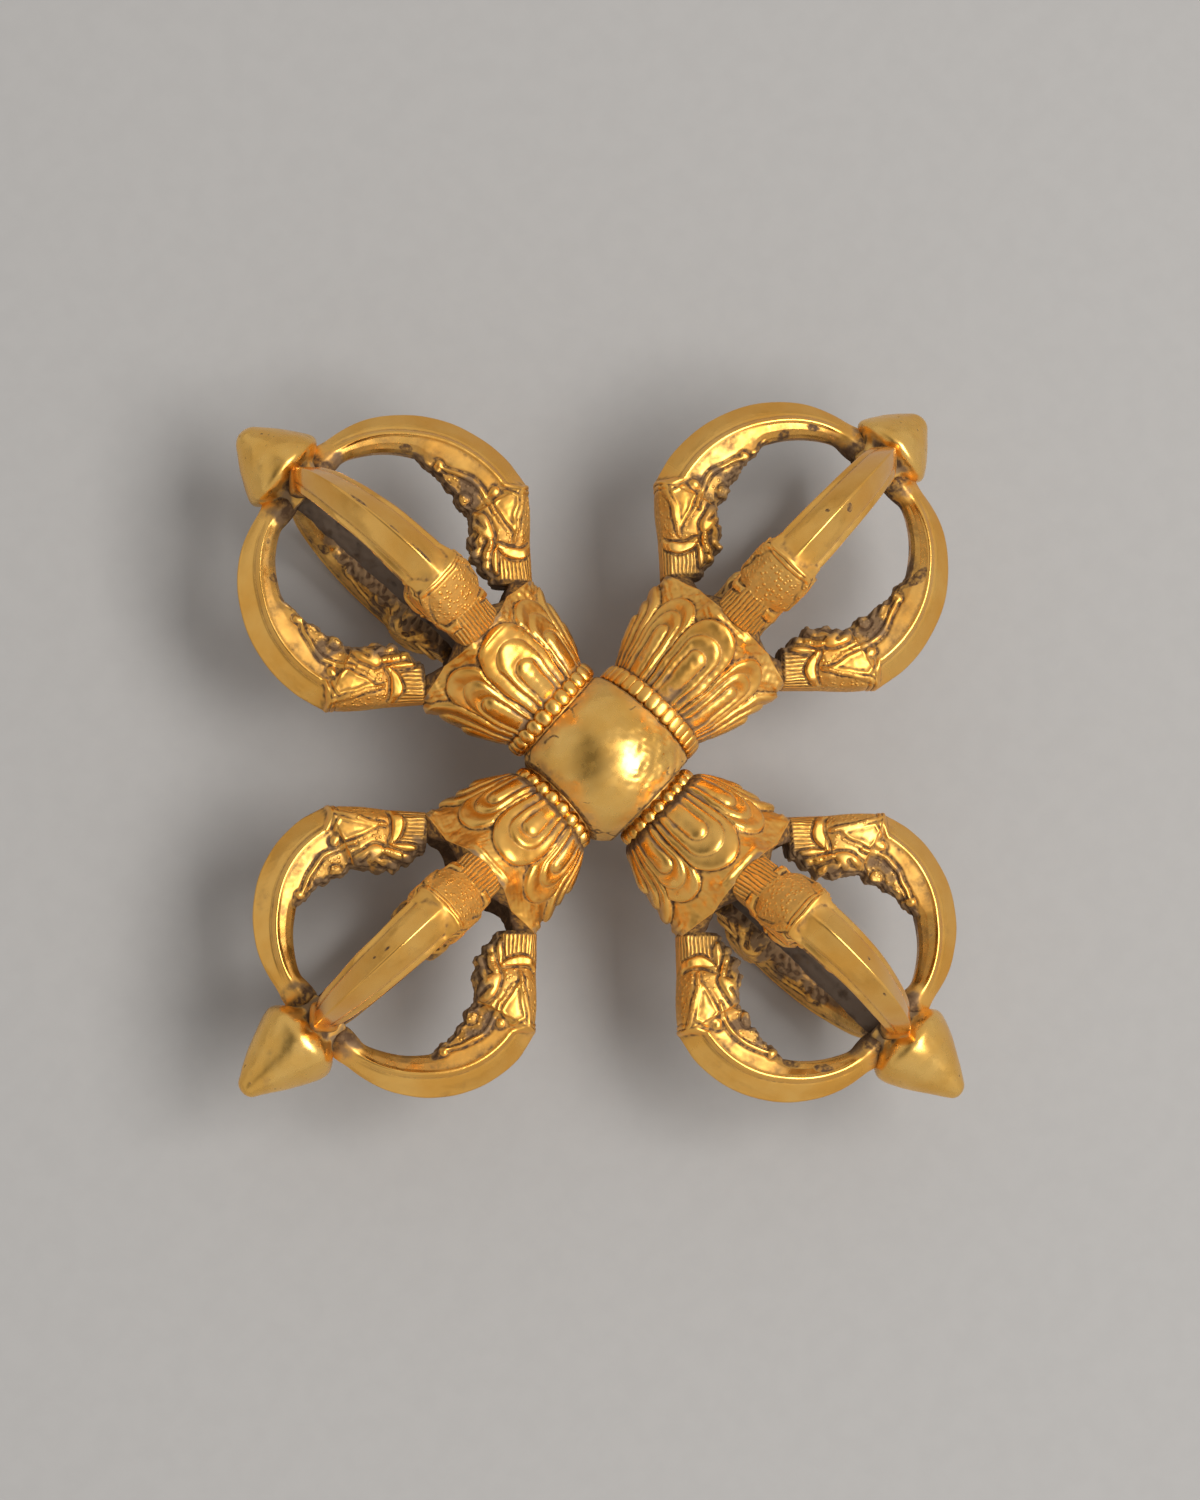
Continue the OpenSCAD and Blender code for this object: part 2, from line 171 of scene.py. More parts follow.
def normals(points: Grid) -> Grid:
    """Unit normals of a grid of rings: the cross product of its tangents, turned outwards.

    Args:
        points: rows by columns of points, with the columns running round.

    Returns:
        Unit vectors of the same shape.
    """
    along = np.gradient(points, axis=0)
    across = np.roll(points, -1, 1) - np.roll(points, 1, 1)
    normal = np.cross(along, across)
    normal /= np.maximum(np.linalg.norm(normal, axis=-1, keepdims=True), 1e-9)
    out = points - points.mean(axis=1, keepdims=True)
    return normal if np.sum(normal * out) > 0 else -normal


def lifted(points: Grid, heights: Grid) -> Grid:
    """Points moved along their normals by heights."""
    return points + normals(points) * heights[..., None]


def eased(path: Path | Grid, rounds: int = 2) -> Grid:
    """Path with its corners cut at a quarter and three quarters of each leg, in rounds; its ends stay."""
    points = np.asarray(path, float)
    for _ in range(rounds):
        near = 0.75 * points[:-1] + 0.25 * points[1:]
        far = 0.25 * points[:-1] + 0.75 * points[1:]
        cut = np.stack([near, far], 1).reshape(-1, 2)
        points = np.concatenate([points[:1], cut[1:-1], points[-1:]])
    return points


def path_gap(path: Grid, x: Grid, y: Grid) -> tuple[Grid, Grid]:
    """Least distance of each place from the legs of a path, and how far along the path its foot lies.

    Args:
        path: points of the path.
        x: first coordinate of the places.
        y: second coordinate of the places.

    Returns:
        The distances and the lengths along the path.
    """
    gap = np.full(x.shape, 1e9)
    along = np.zeros(x.shape)
    run = 0.0
    for (x0, y0), (x1, y1) in zip(path[:-1], path[1:]):
        dx, dy = x1 - x0, y1 - y0
        leg = float(np.hypot(dx, dy))
        share = np.clip(((x - x0) * dx + (y - y0) * dy) / leg**2, 0.0, 1.0)
        here = np.hypot(x - x0 - share * dx, y - y0 - share * dy)
        nearer = here < gap
        gap = np.where(nearer, here, gap)
        along = np.where(nearer, run + share * leg, along)
        run += leg
    return gap, along


@dataclass(frozen=True)
class Unevenness:
    """Unevenness of hand work: the mean of sine waves with seeded directions, lengths and phases."""

    seed: int
    wave: float
    waves: int = 9

    def at(self, points: Grid) -> Grid:
        """Heights, about -1 to 1, at points in millimetres."""
        rng = np.random.default_rng(self.seed)
        turn = rng.normal(size=(self.waves, 3))
        turn /= np.linalg.norm(turn, axis=1, keepdims=True)
        number = 2.0 * np.pi / (self.wave * rng.uniform(0.7, 1.5, self.waves))
        phase = rng.uniform(0.0, 2.0 * np.pi, self.waves)
        return np.sin(points @ (turn * number[:, None]).T + phase).sum(-1) / np.sqrt(self.waves)


def uneven(points: Grid, *terms: tuple[float | Grid, int, float]) -> Grid:
    """Sum of unevennesses at points, each term a height, a seed and a wave length."""
    return sum(height * Unevenness(seed, wave).at(points) for height, seed, wave in terms)


@dataclass(frozen=True)
class Stroke:
    """Chased line that stands proud along a path, with a groove round its edge."""

    path: Path
    half: float
    height: float
    section: Section = Section.ROUND
    taper: float = 0.0
    barbs: float = 0.0
    moat: float = 0.1

    def at(self, x: Grid, y: Grid) -> tuple[Grid, Grid]:
        """Height of the line and depth of the groove round it.

        The height is a half round, or a flatter power of it, of the distance from the path; the half width
        thins towards both ends by the taper, and barbs cut slanting nicks along it.

        Args:
            x: first coordinate of the places.
            y: second coordinate of the places.

        Returns:
            Heights, 0 or more, and groove depths, 0 or less.
        """
        path = eased(self.path)
        gap, along = path_gap(path, x, y)
        share = along / np.hypot(*np.diff(path, axis=0).T).sum()
        half = self.half * (1.0 - self.taper * np.abs(2.0 * share - 1.0) ** 1.5)
        inside = np.clip(1.0 - (gap / half) ** self.section.value, 0.0, None)
        height = self.height * inside**0.8
        if self.barbs > 0.0:
            nick = 0.5 + 0.5 * np.cos(2.0 * np.pi * (along - gap) / self.barbs)
            height = height * (1.0 - 0.3 * nick**2)
        groove = -self.moat * mound(gap - half - 0.1, 0.3)
        return height, groove


class Skin:
    """Closed shells of one piece, gathered as grids of rings and made into one mesh object.

    Each point carries fields for the finish: relief, how proud or sunk it lies, -1 to 1, its sunk end
    also taking dirt and painted shade; shade, 0 to 1, brown dusting on faces out of reach of polishing
    and painted shade on faces inside the cage and in crevices; dull, how matt the tools left it, 0 to 1;
    ribs, its place across chased ribs, in ribs; ribbed and punched, masks 0 to 1.
    """

    def __init__(self, name: str) -> None:
        """Start an empty skin for the piece of that name."""
        self.name = name
        self.points: list[Grid] = []
        self.fields: dict[str, list[Grid]] = {name: [] for name in FIELDS}
        self.quads: list[Grid] = []
        self.fans: list[Grid] = []
        self.count = 0

    def add(self, points: Grid, **fields: Grid | float) -> None:
        """Add one shell: quads between the rings, and a fan to the middle of the first and the last ring.

        The shell's volume, summed over its faces, is kept positive by turning the faces round.

        Args:
            points: rows by columns of points in millimetres, with the columns running round.
            fields: values of the named fields at the points, 0 where one is left out.
        """
        rows, columns = points.shape[:2]
        index = np.arange(rows * columns).reshape(rows, columns)
        ahead = np.roll(index, -1, axis=1)
        first, last = rows * columns, rows * columns + 1
        quads = np.stack([index[:-1], ahead[:-1], ahead[1:], index[1:]], -1).reshape(-1, 4)
        foot = np.stack([ahead[0], index[0], np.full(columns, first)], -1)
        head = np.stack([index[-1], ahead[-1], np.full(columns, last)], -1)
        fans = np.concatenate([foot, head])
        flat = np.concatenate([points.reshape(-1, 3), points[0].mean(0)[None], points[-1].mean(0)[None]])
        corners = np.concatenate([quads[:, [0, 1, 2]], quads[:, [0, 2, 3]], fans])
        a, b, c = (flat[corners[:, i]] - flat.mean(0) for i in range(3))
        if np.sum(a * np.cross(b, c)) < 0.0:
            quads, fans = quads[:, ::-1], fans[:, ::-1]
        self.points.append(flat)
        self.quads.append(quads + self.count)
        self.fans.append(fans + self.count)
        for name, store in self.fields.items():
            whole = np.broadcast_to(fields.get(name, 0.0), (rows, columns))
            store.append(np.concatenate([whole.ravel(), [whole[0].mean(), whole[-1].mean()]]))
        self.count += len(flat)

    def make(self) -> Piece:
        """Mesh object at the origin, in metres, shaded smooth, with the fields as attributes of its points.

        Returns:
            The new object, linked to the scene.
        """
        mesh = bpy.data.meshes.new(self.name)
        points = np.concatenate(self.points) * MM
        quads, fans = np.concatenate(self.quads), np.concatenate(self.fans)
        loops = np.concatenate([quads.ravel(), fans.ravel()])
        starts = np.concatenate([np.arange(len(quads)) * 4, quads.size + np.arange(len(fans)) * 3])
        mesh.vertices.add(len(points))
        mesh.vertices.foreach_set("co", points.astype(np.float32).ravel())
        mesh.loops.add(len(loops))
        mesh.loops.foreach_set("vertex_index", loops.astype(np.int32))
        mesh.polygons.add(len(starts))
        mesh.polygons.foreach_set("loop_start", starts.astype(np.int32))
        mesh.polygons.foreach_set("use_smooth", np.ones(len(starts), bool))
        mesh.update(calc_edges=True)
        for name, store in self.fields.items():
            values = mesh.attributes.new(name, "FLOAT", "POINT")
            values.data.foreach_set("value", np.concatenate(store).astype(np.float32))
        piece = bpy.data.objects.new(self.name, mesh)
        bpy.context.scene.collection.objects.link(piece)
        return piece


def shell(name: str, points: Grid, **fields: Grid | float) -> Piece:
    """Piece of one closed shell, with its fields."""
    skin = Skin(name)
    skin.add(points, **fields)
    return skin.make()


class Nodes:
    """Short hand for building a node tree."""

    def __init__(self, tree: bpy.types.NodeTree) -> None:
        """Take a node tree and clear it."""
        self.tree = tree
        tree.nodes.clear()

    def add(self, kind: str, links: dict | None = None, **settings: object) -> bpy.types.Node:
        """Add a node.

        Args:
            kind: type of the node, without "ShaderNode" where that is its start.
            links: for each input, by name or number, a socket to join to it or a value to set.
            settings: properties of the node.

        Returns:
            The node.
        """
        name = kind if kind.startswith("Node") else "ShaderNode" + kind
        node = self.tree.nodes.new(name)
        for key, value in settings.items():
            setattr(node, key, value)
        for key, value in (links or {}).items():
            if isinstance(value, Socket):
                self.tree.links.new(value, node.inputs[key])
            else:
                node.inputs[key].default_value = value
        return node

    def math(self, operation: str, a: object, b: object = 0.0, clamp: bool = False) -> Socket:
        """Output of a Math node on two sockets or numbers."""
        return self.add("Math", {0: a, 1: b}, operation=operation, use_clamp=clamp).outputs[0]

    def plus(self, base: object, value: object, factor: object, clamp: bool = False) -> Socket:
        """Sum of a base and of a value times a factor."""
        return self.math("ADD", base, self.math("MULTIPLY", value, factor), clamp)

    def spread(self, value: object, low: float, high: float, to_low: float, to_high: float) -> Socket:
        """Output of a Map Range node, smooth and clamped."""
        links = {"Value": value, "From Min": low, "From Max": high, "To Min": to_low, "To Max": to_high}
        return self.add("MapRange", links, interpolation_type="SMOOTHSTEP").outputs[0]

    def noise(self, place: object, scale: float, detail: float, rough: float = 0.55) -> Socket:
        """Value of a Noise Texture at a place."""
        links = {"Vector": place, "Scale": scale, "Detail": detail, "Roughness": rough}
        return self.add("TexNoise", links).outputs["Fac"]

    def blend(self, share: object, a: object, b: object) -> Socket:
        """Colour mixed from a to b by a share."""
        return self.add("Mix", {0: share, 6: a, 7: b}, data_type="RGBA").outputs[2]


class Effects:
    """Shader node groups that the finishes share."""

    def __init__(self) -> None:
        """Build the groups once."""
        self.grime = self._grime()
        self.skin = self._skin()
        self.chasing = self._chasing()

    @staticmethod
    def _start(name: str, inputs: dict[str, float]) -> tuple[Nodes, dict[str, Socket]]:
        """Start a group with float inputs.

        Args:
            name: name of the group.
            inputs: inputs with their starting values.

        Returns:
            The tree's builder, and the input sockets by name.
        """
        tree = bpy.data.node_groups.new(name, "ShaderNodeTree")
        build = Nodes(tree)
        for label, value in inputs.items():
            socket = tree.interface.new_socket(label, in_out="INPUT", socket_type="NodeSocketFloat")
            socket.default_value = value
        inner = build.add("NodeGroupInput")
        return build, {label: inner.outputs[label] for label in inputs}

    @staticmethod
    def _end(build: Nodes, **outputs: Socket) -> bpy.types.NodeTree:
        """Give a group its float outputs, each from one of its sockets.

        Args:
            build: the tree's builder.
            outputs: sockets by the name of the output.

        Returns:
            The finished group.
        """
        for label in outputs:
            build.tree.interface.new_socket(label, in_out="OUTPUT", socket_type="NodeSocketFloat")
        build.add("NodeGroupOutput", outputs)
        return build.tree

    def _grime(self) -> bpy.types.NodeTree:
        """Dirt and painted shade where sunk or marked as shaded, broken up by noise, and polish where proud.
        """
        build, given = self._start("old_grime", {"Relief": 0.0, "Shade": 0.0, "Groove": 0.0, "Amount": 1.0})
        place = build.add("TexCoord").outputs["Object"]
        # Sunk places turn dark brown: dirt in chased lines, painted shade in the dish, under beads and in
        # crevices.
        sunk = build.math("MAXIMUM", build.spread(given["Relief"], -0.08, -0.6, 0.0, 1.0), given["Groove"])
        broken = build.spread(build.noise(place, 1500.0, 3.0), 0.3, 0.65, 0.55, 1.1)
        lines = build.math("MULTIPLY", build.math("MULTIPLY", sunk, broken), given["Amount"], clamp=True)
        patchy = build.spread(build.noise(place, 420.0, 4.0), 0.3, 0.68, -0.5, 0.5)
        faces = build.plus(given["Shade"], patchy, given["Shade"], clamp=True)
        # Brown dusting, which also serves as painted shade on faces inside the cage and in crevices.
        dust = build.spread(faces, 0.2, 0.65, 0.0, 0.9)
        polish = build.spread(given["Relief"], 0.1, 0.8, 0.0, 1.0)
        return self._end(build, Grime=lines, Dust=dust, Polish=polish)

    def _chasing(self) -> bpy.types.NodeTree:
        """Chased ribs, a cosine across them shaken by noise, and punched grains, the near parts of cells."""
        build, given = self._start("chased_marks", {"Ribs": 0.0, "Ribbed": 0.0, "Punched": 0.0})
        place = build.add("TexCoord").outputs["Object"]
        shake = build.math("SUBTRACT", build.noise(place, 330.0, 2.0), 0.5)
        turn = build.math("MULTIPLY", build.math("ADD", given["Ribs"], shake), 2.0 * np.pi)
        wave = build.plus(0.5, build.math("COSINE", turn), 0.5)
        worn = build.spread(build.noise(place, 420.0, 2.0), 0.3, 0.5, 0.7, 1.0)
        ribbed = build.math("MULTIPLY", given["Ribbed"], worn)
        cells = build.add("TexVoronoi", {"Vector": place, "Scale": 1500.0}).outputs["Distance"]
        grain = build.spread(cells, 0.12, 0.46, 1.0, 0.0)
        rise = build.plus(build.math("MULTIPLY", wave, ribbed), grain, given["Punched"])
        gap = build.math("MULTIPLY", build.spread(wave, 0.0, 0.45, 0.9, 0.0), ribbed)
        between = build.math("MULTIPLY", build.spread(grain, 0.0, 0.5, 0.35, 0.0), given["Punched"])
        return self._end(build, Height=rise, Groove=build.math("MAXIMUM", gap, between))

    def _skin(self) -> bpy.types.NodeTree:
        """Skin of the cast, burnished metal: drift of tone, brown stains, pits and fine hand-polish lines."""
        build, given = self._start("cast_skin", {"Pits": 1.0, "Stains": 1.0})
        place = build.add("TexCoord").outputs["Object"]
        tone = build.spread(build.noise(place, 130.0, 4.0), 0.3, 0.7, 0.0, 1.0)
        spots = build.spread(build.noise(place, 210.0, 5.0, 0.62), 0.62, 0.74, 0.0, 1.0)
        stain = build.math("MULTIPLY", spots, given["Stains"], clamp=True)
        cells = build.add("TexVoronoi", {"Vector": place, "Scale": 520.0}).outputs["Distance"]
        pit = build.math("MULTIPLY", build.spread(cells, 0.05, 0.2, -1.0, 0.0), given["Pits"])
        some = build.spread(build.noise(place, 260.0, 2.0), 0.5, 0.62, 0.0, 1.0)
        drawn = {"Vector": place, "Scale": (1.0, 0.12, 0.5), "Rotation": (0.4, 0.2, 0.8)}
        lines = build.noise(build.add("Mapping", drawn).outputs[0], 5200.0, 2.0)
        height = build.plus(build.math("MULTIPLY", pit, some), lines, 0.05)
        height = build.plus(height, build.noise(place, 700.0, 3.0), 0.18)
        rough = build.spread(build.noise(place, 480.0, 4.0), 0.3, 0.7, 0.0, 1.0)
        return self._end(build, Tone=tone, Stain=stain, Height=height, Rough=rough)


@dataclass(frozen=True)
class MetalFinish:
    """Gilt or patinated metal of one material slot."""

    slot: str
    bright: Colour
    deep: Colour
    # These two colours, dark dirt and brown dusting, also serve as painted shade.
    grime: Colour
    dust: Colour
    stain: Colour
    polished: float
    dull: float
    grime_and_shade_amount: float
    stains: float
    pits: float
    bump: float
    skin_depth: float = 0.1 * MM
    chasing_depth: float = 0.11 * MM

    def material(self, effects: Effects) -> bpy.types.Material:
        """Procedural tone from bright to deep, under stains, dusting and dirt that paint shade too, and
        chasing.

        Args:
            effects: shared node groups.

        Returns:
            The material.
        """
        made = bpy.data.materials.new(self.slot)
        made.use_nodes = True
        build = Nodes(made.node_tree)
        given = {name: build.add("Attribute", attribute_name=name).outputs["Fac"] for name in FIELDS}
        tooled = {label: given[label.lower()] for label in ("Ribs", "Ribbed", "Punched")}
        marks = build.add("Group", tooled, node_tree=effects.chasing).outputs
        soil_and_shade_inputs = {label: given[label.lower()] for label in ("Relief", "Shade")}
        soil_and_shade_inputs |= {"Groove": marks["Groove"], "Amount": self.grime_and_shade_amount}
        dirt = build.add("Group", soil_and_shade_inputs, node_tree=effects.grime).outputs
        cast = {"Pits": self.pits, "Stains": self.stains}
        skin = build.add("Group", cast, node_tree=effects.skin).outputs
        colour = build.blend(skin["Tone"], (*self.deep, 1.0), (*self.bright, 1.0))
        # The dusting and dirt layers carry painted shade as well as real dirt.
        layers = ((skin["Stain"], self.stain), (dirt["Dust"], self.dust), (dirt["Grime"], self.grime))
        for share, over in layers:
            colour = build.blend(share, colour, (*over, 1.0))
        dirt_and_shade_share = build.math("MAXIMUM", dirt["Grime"], dirt["Dust"])
        rough = build.spread(skin["Rough"], 0.0, 1.0, self.polished, self.dull)
        roughened = (
            (dirt["Polish"], -0.06), (skin["Stain"], 0.2), (given["punched"], 0.04), (given["dull"], 0.2))
        for value, change in roughened:
            rough = build.plus(rough, value, change)
        rough = build.plus(rough, dirt_and_shade_share, 0.3, clamp=True)
        metallic = build.math("SUBTRACT", 1.0, build.math("MULTIPLY", dirt_and_shade_share, 0.85), clamp=True)
        worked = {"Height": skin["Height"], "Strength": self.bump, "Distance": self.skin_depth}
        normal = build.add("Bump", worked).outputs[0]
        chased = {"Height": marks["Height"], "Strength": 1.0, "Distance": self.chasing_depth}
        normal = build.add("Bump", chased | {"Normal": normal}).outputs[0]
        metal = {"Base Color": colour, "Roughness": rough, "Metallic": metallic, "Normal": normal}
        shader = build.add("BsdfPrincipled", metal | {"Specular IOR Level": 0.15})
        build.add("OutputMaterial", {"Surface": shader.outputs[0]})
        return made


FINISHES = (
    MetalFinish(
        slot="gilt", bright=(0.99, 0.56, 0.142), deep=(0.91, 0.45, 0.083), grime=(0.11, 0.06, 0.031),
        dust=(0.2, 0.13, 0.08), stain=(0.34, 0.19, 0.09), polished=0.15, dull=0.25, grime_and_shade_amount=0.95,
        stains=0.25, pits=0.8, bump=0.08),
    MetalFinish(
        slot="worn_gilt", bright=(0.98, 0.6, 0.172), deep=(0.89, 0.485, 0.105), grime=(0.115, 0.065, 0.034),
        dust=(0.22, 0.145, 0.09), stain=(0.42, 0.25, 0.12), polished=0.21, dull=0.33, grime_and_shade_amount=0.95,
        stains=0.25, pits=0.9, bump=0.1),
    MetalFinish(
        slot="dark_bronze", bright=(0.2, 0.125, 0.07), deep=(0.1, 0.068, 0.047), grime=(0.05, 0.036, 0.028),
        dust=(0.17, 0.125, 0.092), stain=(0.3, 0.17, 0.06), polished=0.42, dull=0.62, grime_and_shade_amount=1.0,
        stains=0.6, pits=1.0, bump=0.6),
)


@dataclass(frozen=True)
class ArmFrame:
    """Frame of one arm: its own x runs out along the arm, y to its left and z up, with the hub at 0."""

    name: str
    bearing: float
    lift: float

    def node(self, piece: str) -> str:
        """Name of a CAD node of this arm."""
        return f"{self.name}_{piece}"

    def span(self, piece: str) -> tuple[float, float]:
        """Least and greatest reach of a CAD node along the arm, in millimetres."""
        mesh = frame["nodes"][self.node(piece)].data
        flat = np.zeros(3 * len(mesh.vertices), np.float32)
        mesh.vertices.foreach_get("co", flat)
        x, y = flat.reshape(-1, 3)[:, :2].T / MM
        along = x * np.cos(self.bearing) + y * np.sin(self.bearing)
        return float(along.min()), float(along.max())

    def place(self, points: Grid, turn: float = 0.0) -> Grid:
        """Points turned about the arm's own axis, then set at the arm's bearing and height.

        Args:
            points: points in the arm's frame.
            turn: turn about the arm, in degrees.

        Returns:
            Points in the object's frame, in millimetres.
        """
        x, y, z = np.moveaxis(points, -1, 0)
        c, s = np.cos(np.radians(turn)), np.sin(np.radians(turn))
        y, z = y * c - z * s, y * s + z * c
        c, s = np.cos(self.bearing), np.sin(self.bearing)
        return np.stack([x * c - y * s, x * s + y * c, z + self.lift], -1)


@dataclass(frozen=True)
class Hub:
    """Ball where the arms cross: hand-finished, with chisel marks on one side, cast faults and scuffs."""

    lift: float
    radius: float
    seats: tuple[tuple[float, float], ...]
    rows: int = 180
    columns: int = 230
    waviness: float = 0.07
    marks: float = 0.16
    marked_way: tuple[float, float, float] = (0.5, -0.62, 0.6)
    fault_depth: float = 0.12
    seat_gap: float = 0.05
    seat_edge: float = 0.12
    soil_reach: float = 0.4
    dull_reach: float = 2.6
    scuff_reach: float = 3.6
    seat_soil_and_shade: float = 0.9
    scuff_soil: float = 0.6
    seat_shade: float = 0.3
    level_span: float = 0.2

    def build(self) -> Piece:
        """Ball with its poles on the east-west arms, uneven by its radius and cut flat under each collar."""
        out = globe(self.rows, self.columns)
        points = out * self.radius
        marked = ramp(out @ np.array(self.marked_way), 0.55, 0.95)
        chiselled = uneven(points, (0.5, 7, 1.9), (0.2, 8, 0.9))
        faults = ramp(Unevenness(9, 1.1).at(points), 1.7, 2.1)
        relief = uneven(points, (self.waviness, 5, 9.0), (0.02, 6, 2.6))
        relief = relief + marked * self.marks * chiselled - self.fault_depth * faults
        level = relief - soften(relief, 5, 5)
        points = out * (self.radius + relief - self.seat_gap)[..., None]
        nearest = np.full(level.shape, -self.radius)
        for bearing, seat_x in self.seats:
            way = np.array([np.cos(bearing), np.sin(bearing), 0.0])
            past = points @ way - seat_x - self.seat_gap
            points = points - 0.5 * (past + np.hypot(past, self.seat_edge))[..., None] * way
            nearest = np.maximum(nearest, past)
        # Near each seat the hub takes dark soil and a dull dusting: dirt and painted shade in the crevice
        # under the collar.
        soil, dull = ramp(nearest, -self.soil_reach, -0.05), ramp(nearest, -self.dull_reach, -0.6)
        veins = 1.0 - ramp(np.abs(Unevenness(10, 3.0).at(points)), 0.1, 0.32)
        patches = ramp(Unevenness(11, 3.6).at(points), 0.2, 0.7)
        scuffs = veins * patches * ramp(nearest, -self.scuff_reach, -1.4)
        level = np.clip(level / self.level_span, -0.08, 1.0)
        relief = level - self.seat_soil_and_shade * soil - self.scuff_soil * scuffs
        points = points + np.array([0.0, 0.0, self.lift])
        return shell("hub", points, relief=relief, shade=self.seat_shade * dull, dull=dull)


@dataclass(frozen=True)
class BeadedCollar:
    """Ring between hub and cup: a plain fillet, a row of beads and a thin lip."""

    arm: ArmFrame
    outer_r: float
    beads: int
    form: BeadForm
    seed: int
    seat_x: float
    cup_x: float
    hub_r: float
    bore_r: float = 4.0
    fillet_t: float = 0.4
    fillet_step: float = 0.7
    fillet_soil: float = 0.22
    waviness: float = 0.05
    bead_bulge: float = 1.25
    bead_sink: float = 0.8
    bead_rows: int = 11
    bead_columns: int = 16
    ring_rows: int = 49
    ring_columns: int = 144

    def ring(self) -> tuple[Grid, Grid]:
        """Core of the collar: a profile of radii along the arm carried round it, flared to meet the hub."""
        core, lip = self.outer_r - self.form.gap_depth, self.outer_r - self.fillet_step
        seat, cup = self.seat_x, self.cup_x
        join = min(lip, float(np.sqrt(self.hub_r**2 - seat**2)))
        profile = np.array([
            (seat - 0.9, self.bore_r), (seat - 0.9, join - 0.5), (seat - 0.55, join - 0.1),
            (seat - 0.1, lip - 0.12), (seat + 0.12, lip), (seat + 0.35, lip - 0.05), (seat + 0.5, lip - 0.2),
            (seat + 0.7, core), (cup - 0.5, core), (cup - 0.3, core + 0.2), (cup - 0.1, core + 0.25),
            (cup + 0.3, core + 0.1), (cup + 0.3, self.bore_r)])
        steps = np.linspace(0, len(profile) - 1, self.ring_rows)
        along, radius = (np.interp(steps, np.arange(len(profile)), line)[:, None] for line in profile.T)
        angle = around(self.ring_columns)
        points = turned(along, radius, angle)
        points = lifted(points, uneven(points, (self.waviness, self.seed, 2.4)))
        crest = mound(along - seat - 0.15, 0.35)
        # The core, seen between and under the beads, is made dark: dirt and painted shade, less on the
        # fillet's crest.
        return points, mix(-self.form.gap_soil_and_shade, -self.fillet_soil, crest) + 0.0 * angle

    def bead(self, number: int, rng: np.random.Generator) -> tuple[Grid, Grid]:
        """One bead: a superellipsoid on the collar's rim, a little uneven in size and place.

        Args:
            number: place of the bead round the collar.
            rng: seeded source of the unevenness.

        Returns:
            Points of the bead, and how proud each lies; its lower half is sunk, as painted shade.
        """
        half_step = np.pi / self.beads
        wide = self.outer_r * np.sin(half_step) / (1.0 + np.sin(half_step)) * rng.uniform(1.2, 1.28)
        long = 0.5 * (self.cup_x - self.seat_x - self.fillet_t) * rng.uniform(0.96, 1.02)
        high = wide * self.form.height
        power = self.form.power
        unit = np.roll(globe(self.bead_rows, self.bead_columns), -1, -1)
        unit = unit / (np.abs(unit) ** power).sum(-1, keepdims=True) ** (1.0 / power)
        shape = unit * np.array([min(long * self.bead_bulge, wide * 1.6), wide, high])
        # Below the middle of the bead, facing the collar's core, the value is sunk: painted shade under the
        # bead.
        proud = np.clip(unit[..., 2] * 1.6 - 0.15, -1.0, 0.4)
        angle = (number + 0.5 + rng.uniform(-0.06, 0.06)) * 2.0 * half_step
        middle = 0.5 * (self.seat_x + self.fillet_t + self.cup_x)
        x, y, z = np.moveaxis(shape, -1, 0)
        z = z + self.outer_r - self.bead_sink * high - rng.uniform(0.0, 0.06)
        placed = [x + middle, y * np.cos(angle) + z * np.sin(angle), z * np.cos(angle) - y * np.sin(angle)]
        return np.stack(placed, -1), proud

    def build(self) -> Piece:
        """Collar as one piece: the ring and its beads."""
        skin = Skin(self.arm.node("collar"))
        ring, sunk = self.ring()
        skin.add(self.arm.place(ring), relief=sunk, dull=1.0)
        rng = np.random.default_rng(self.seed)
        for number in range(self.beads):
            points, proud = self.bead(number, rng)
            skin.add(self.arm.place(points), relief=proud, dull=self.form.dull)
        return skin.make()


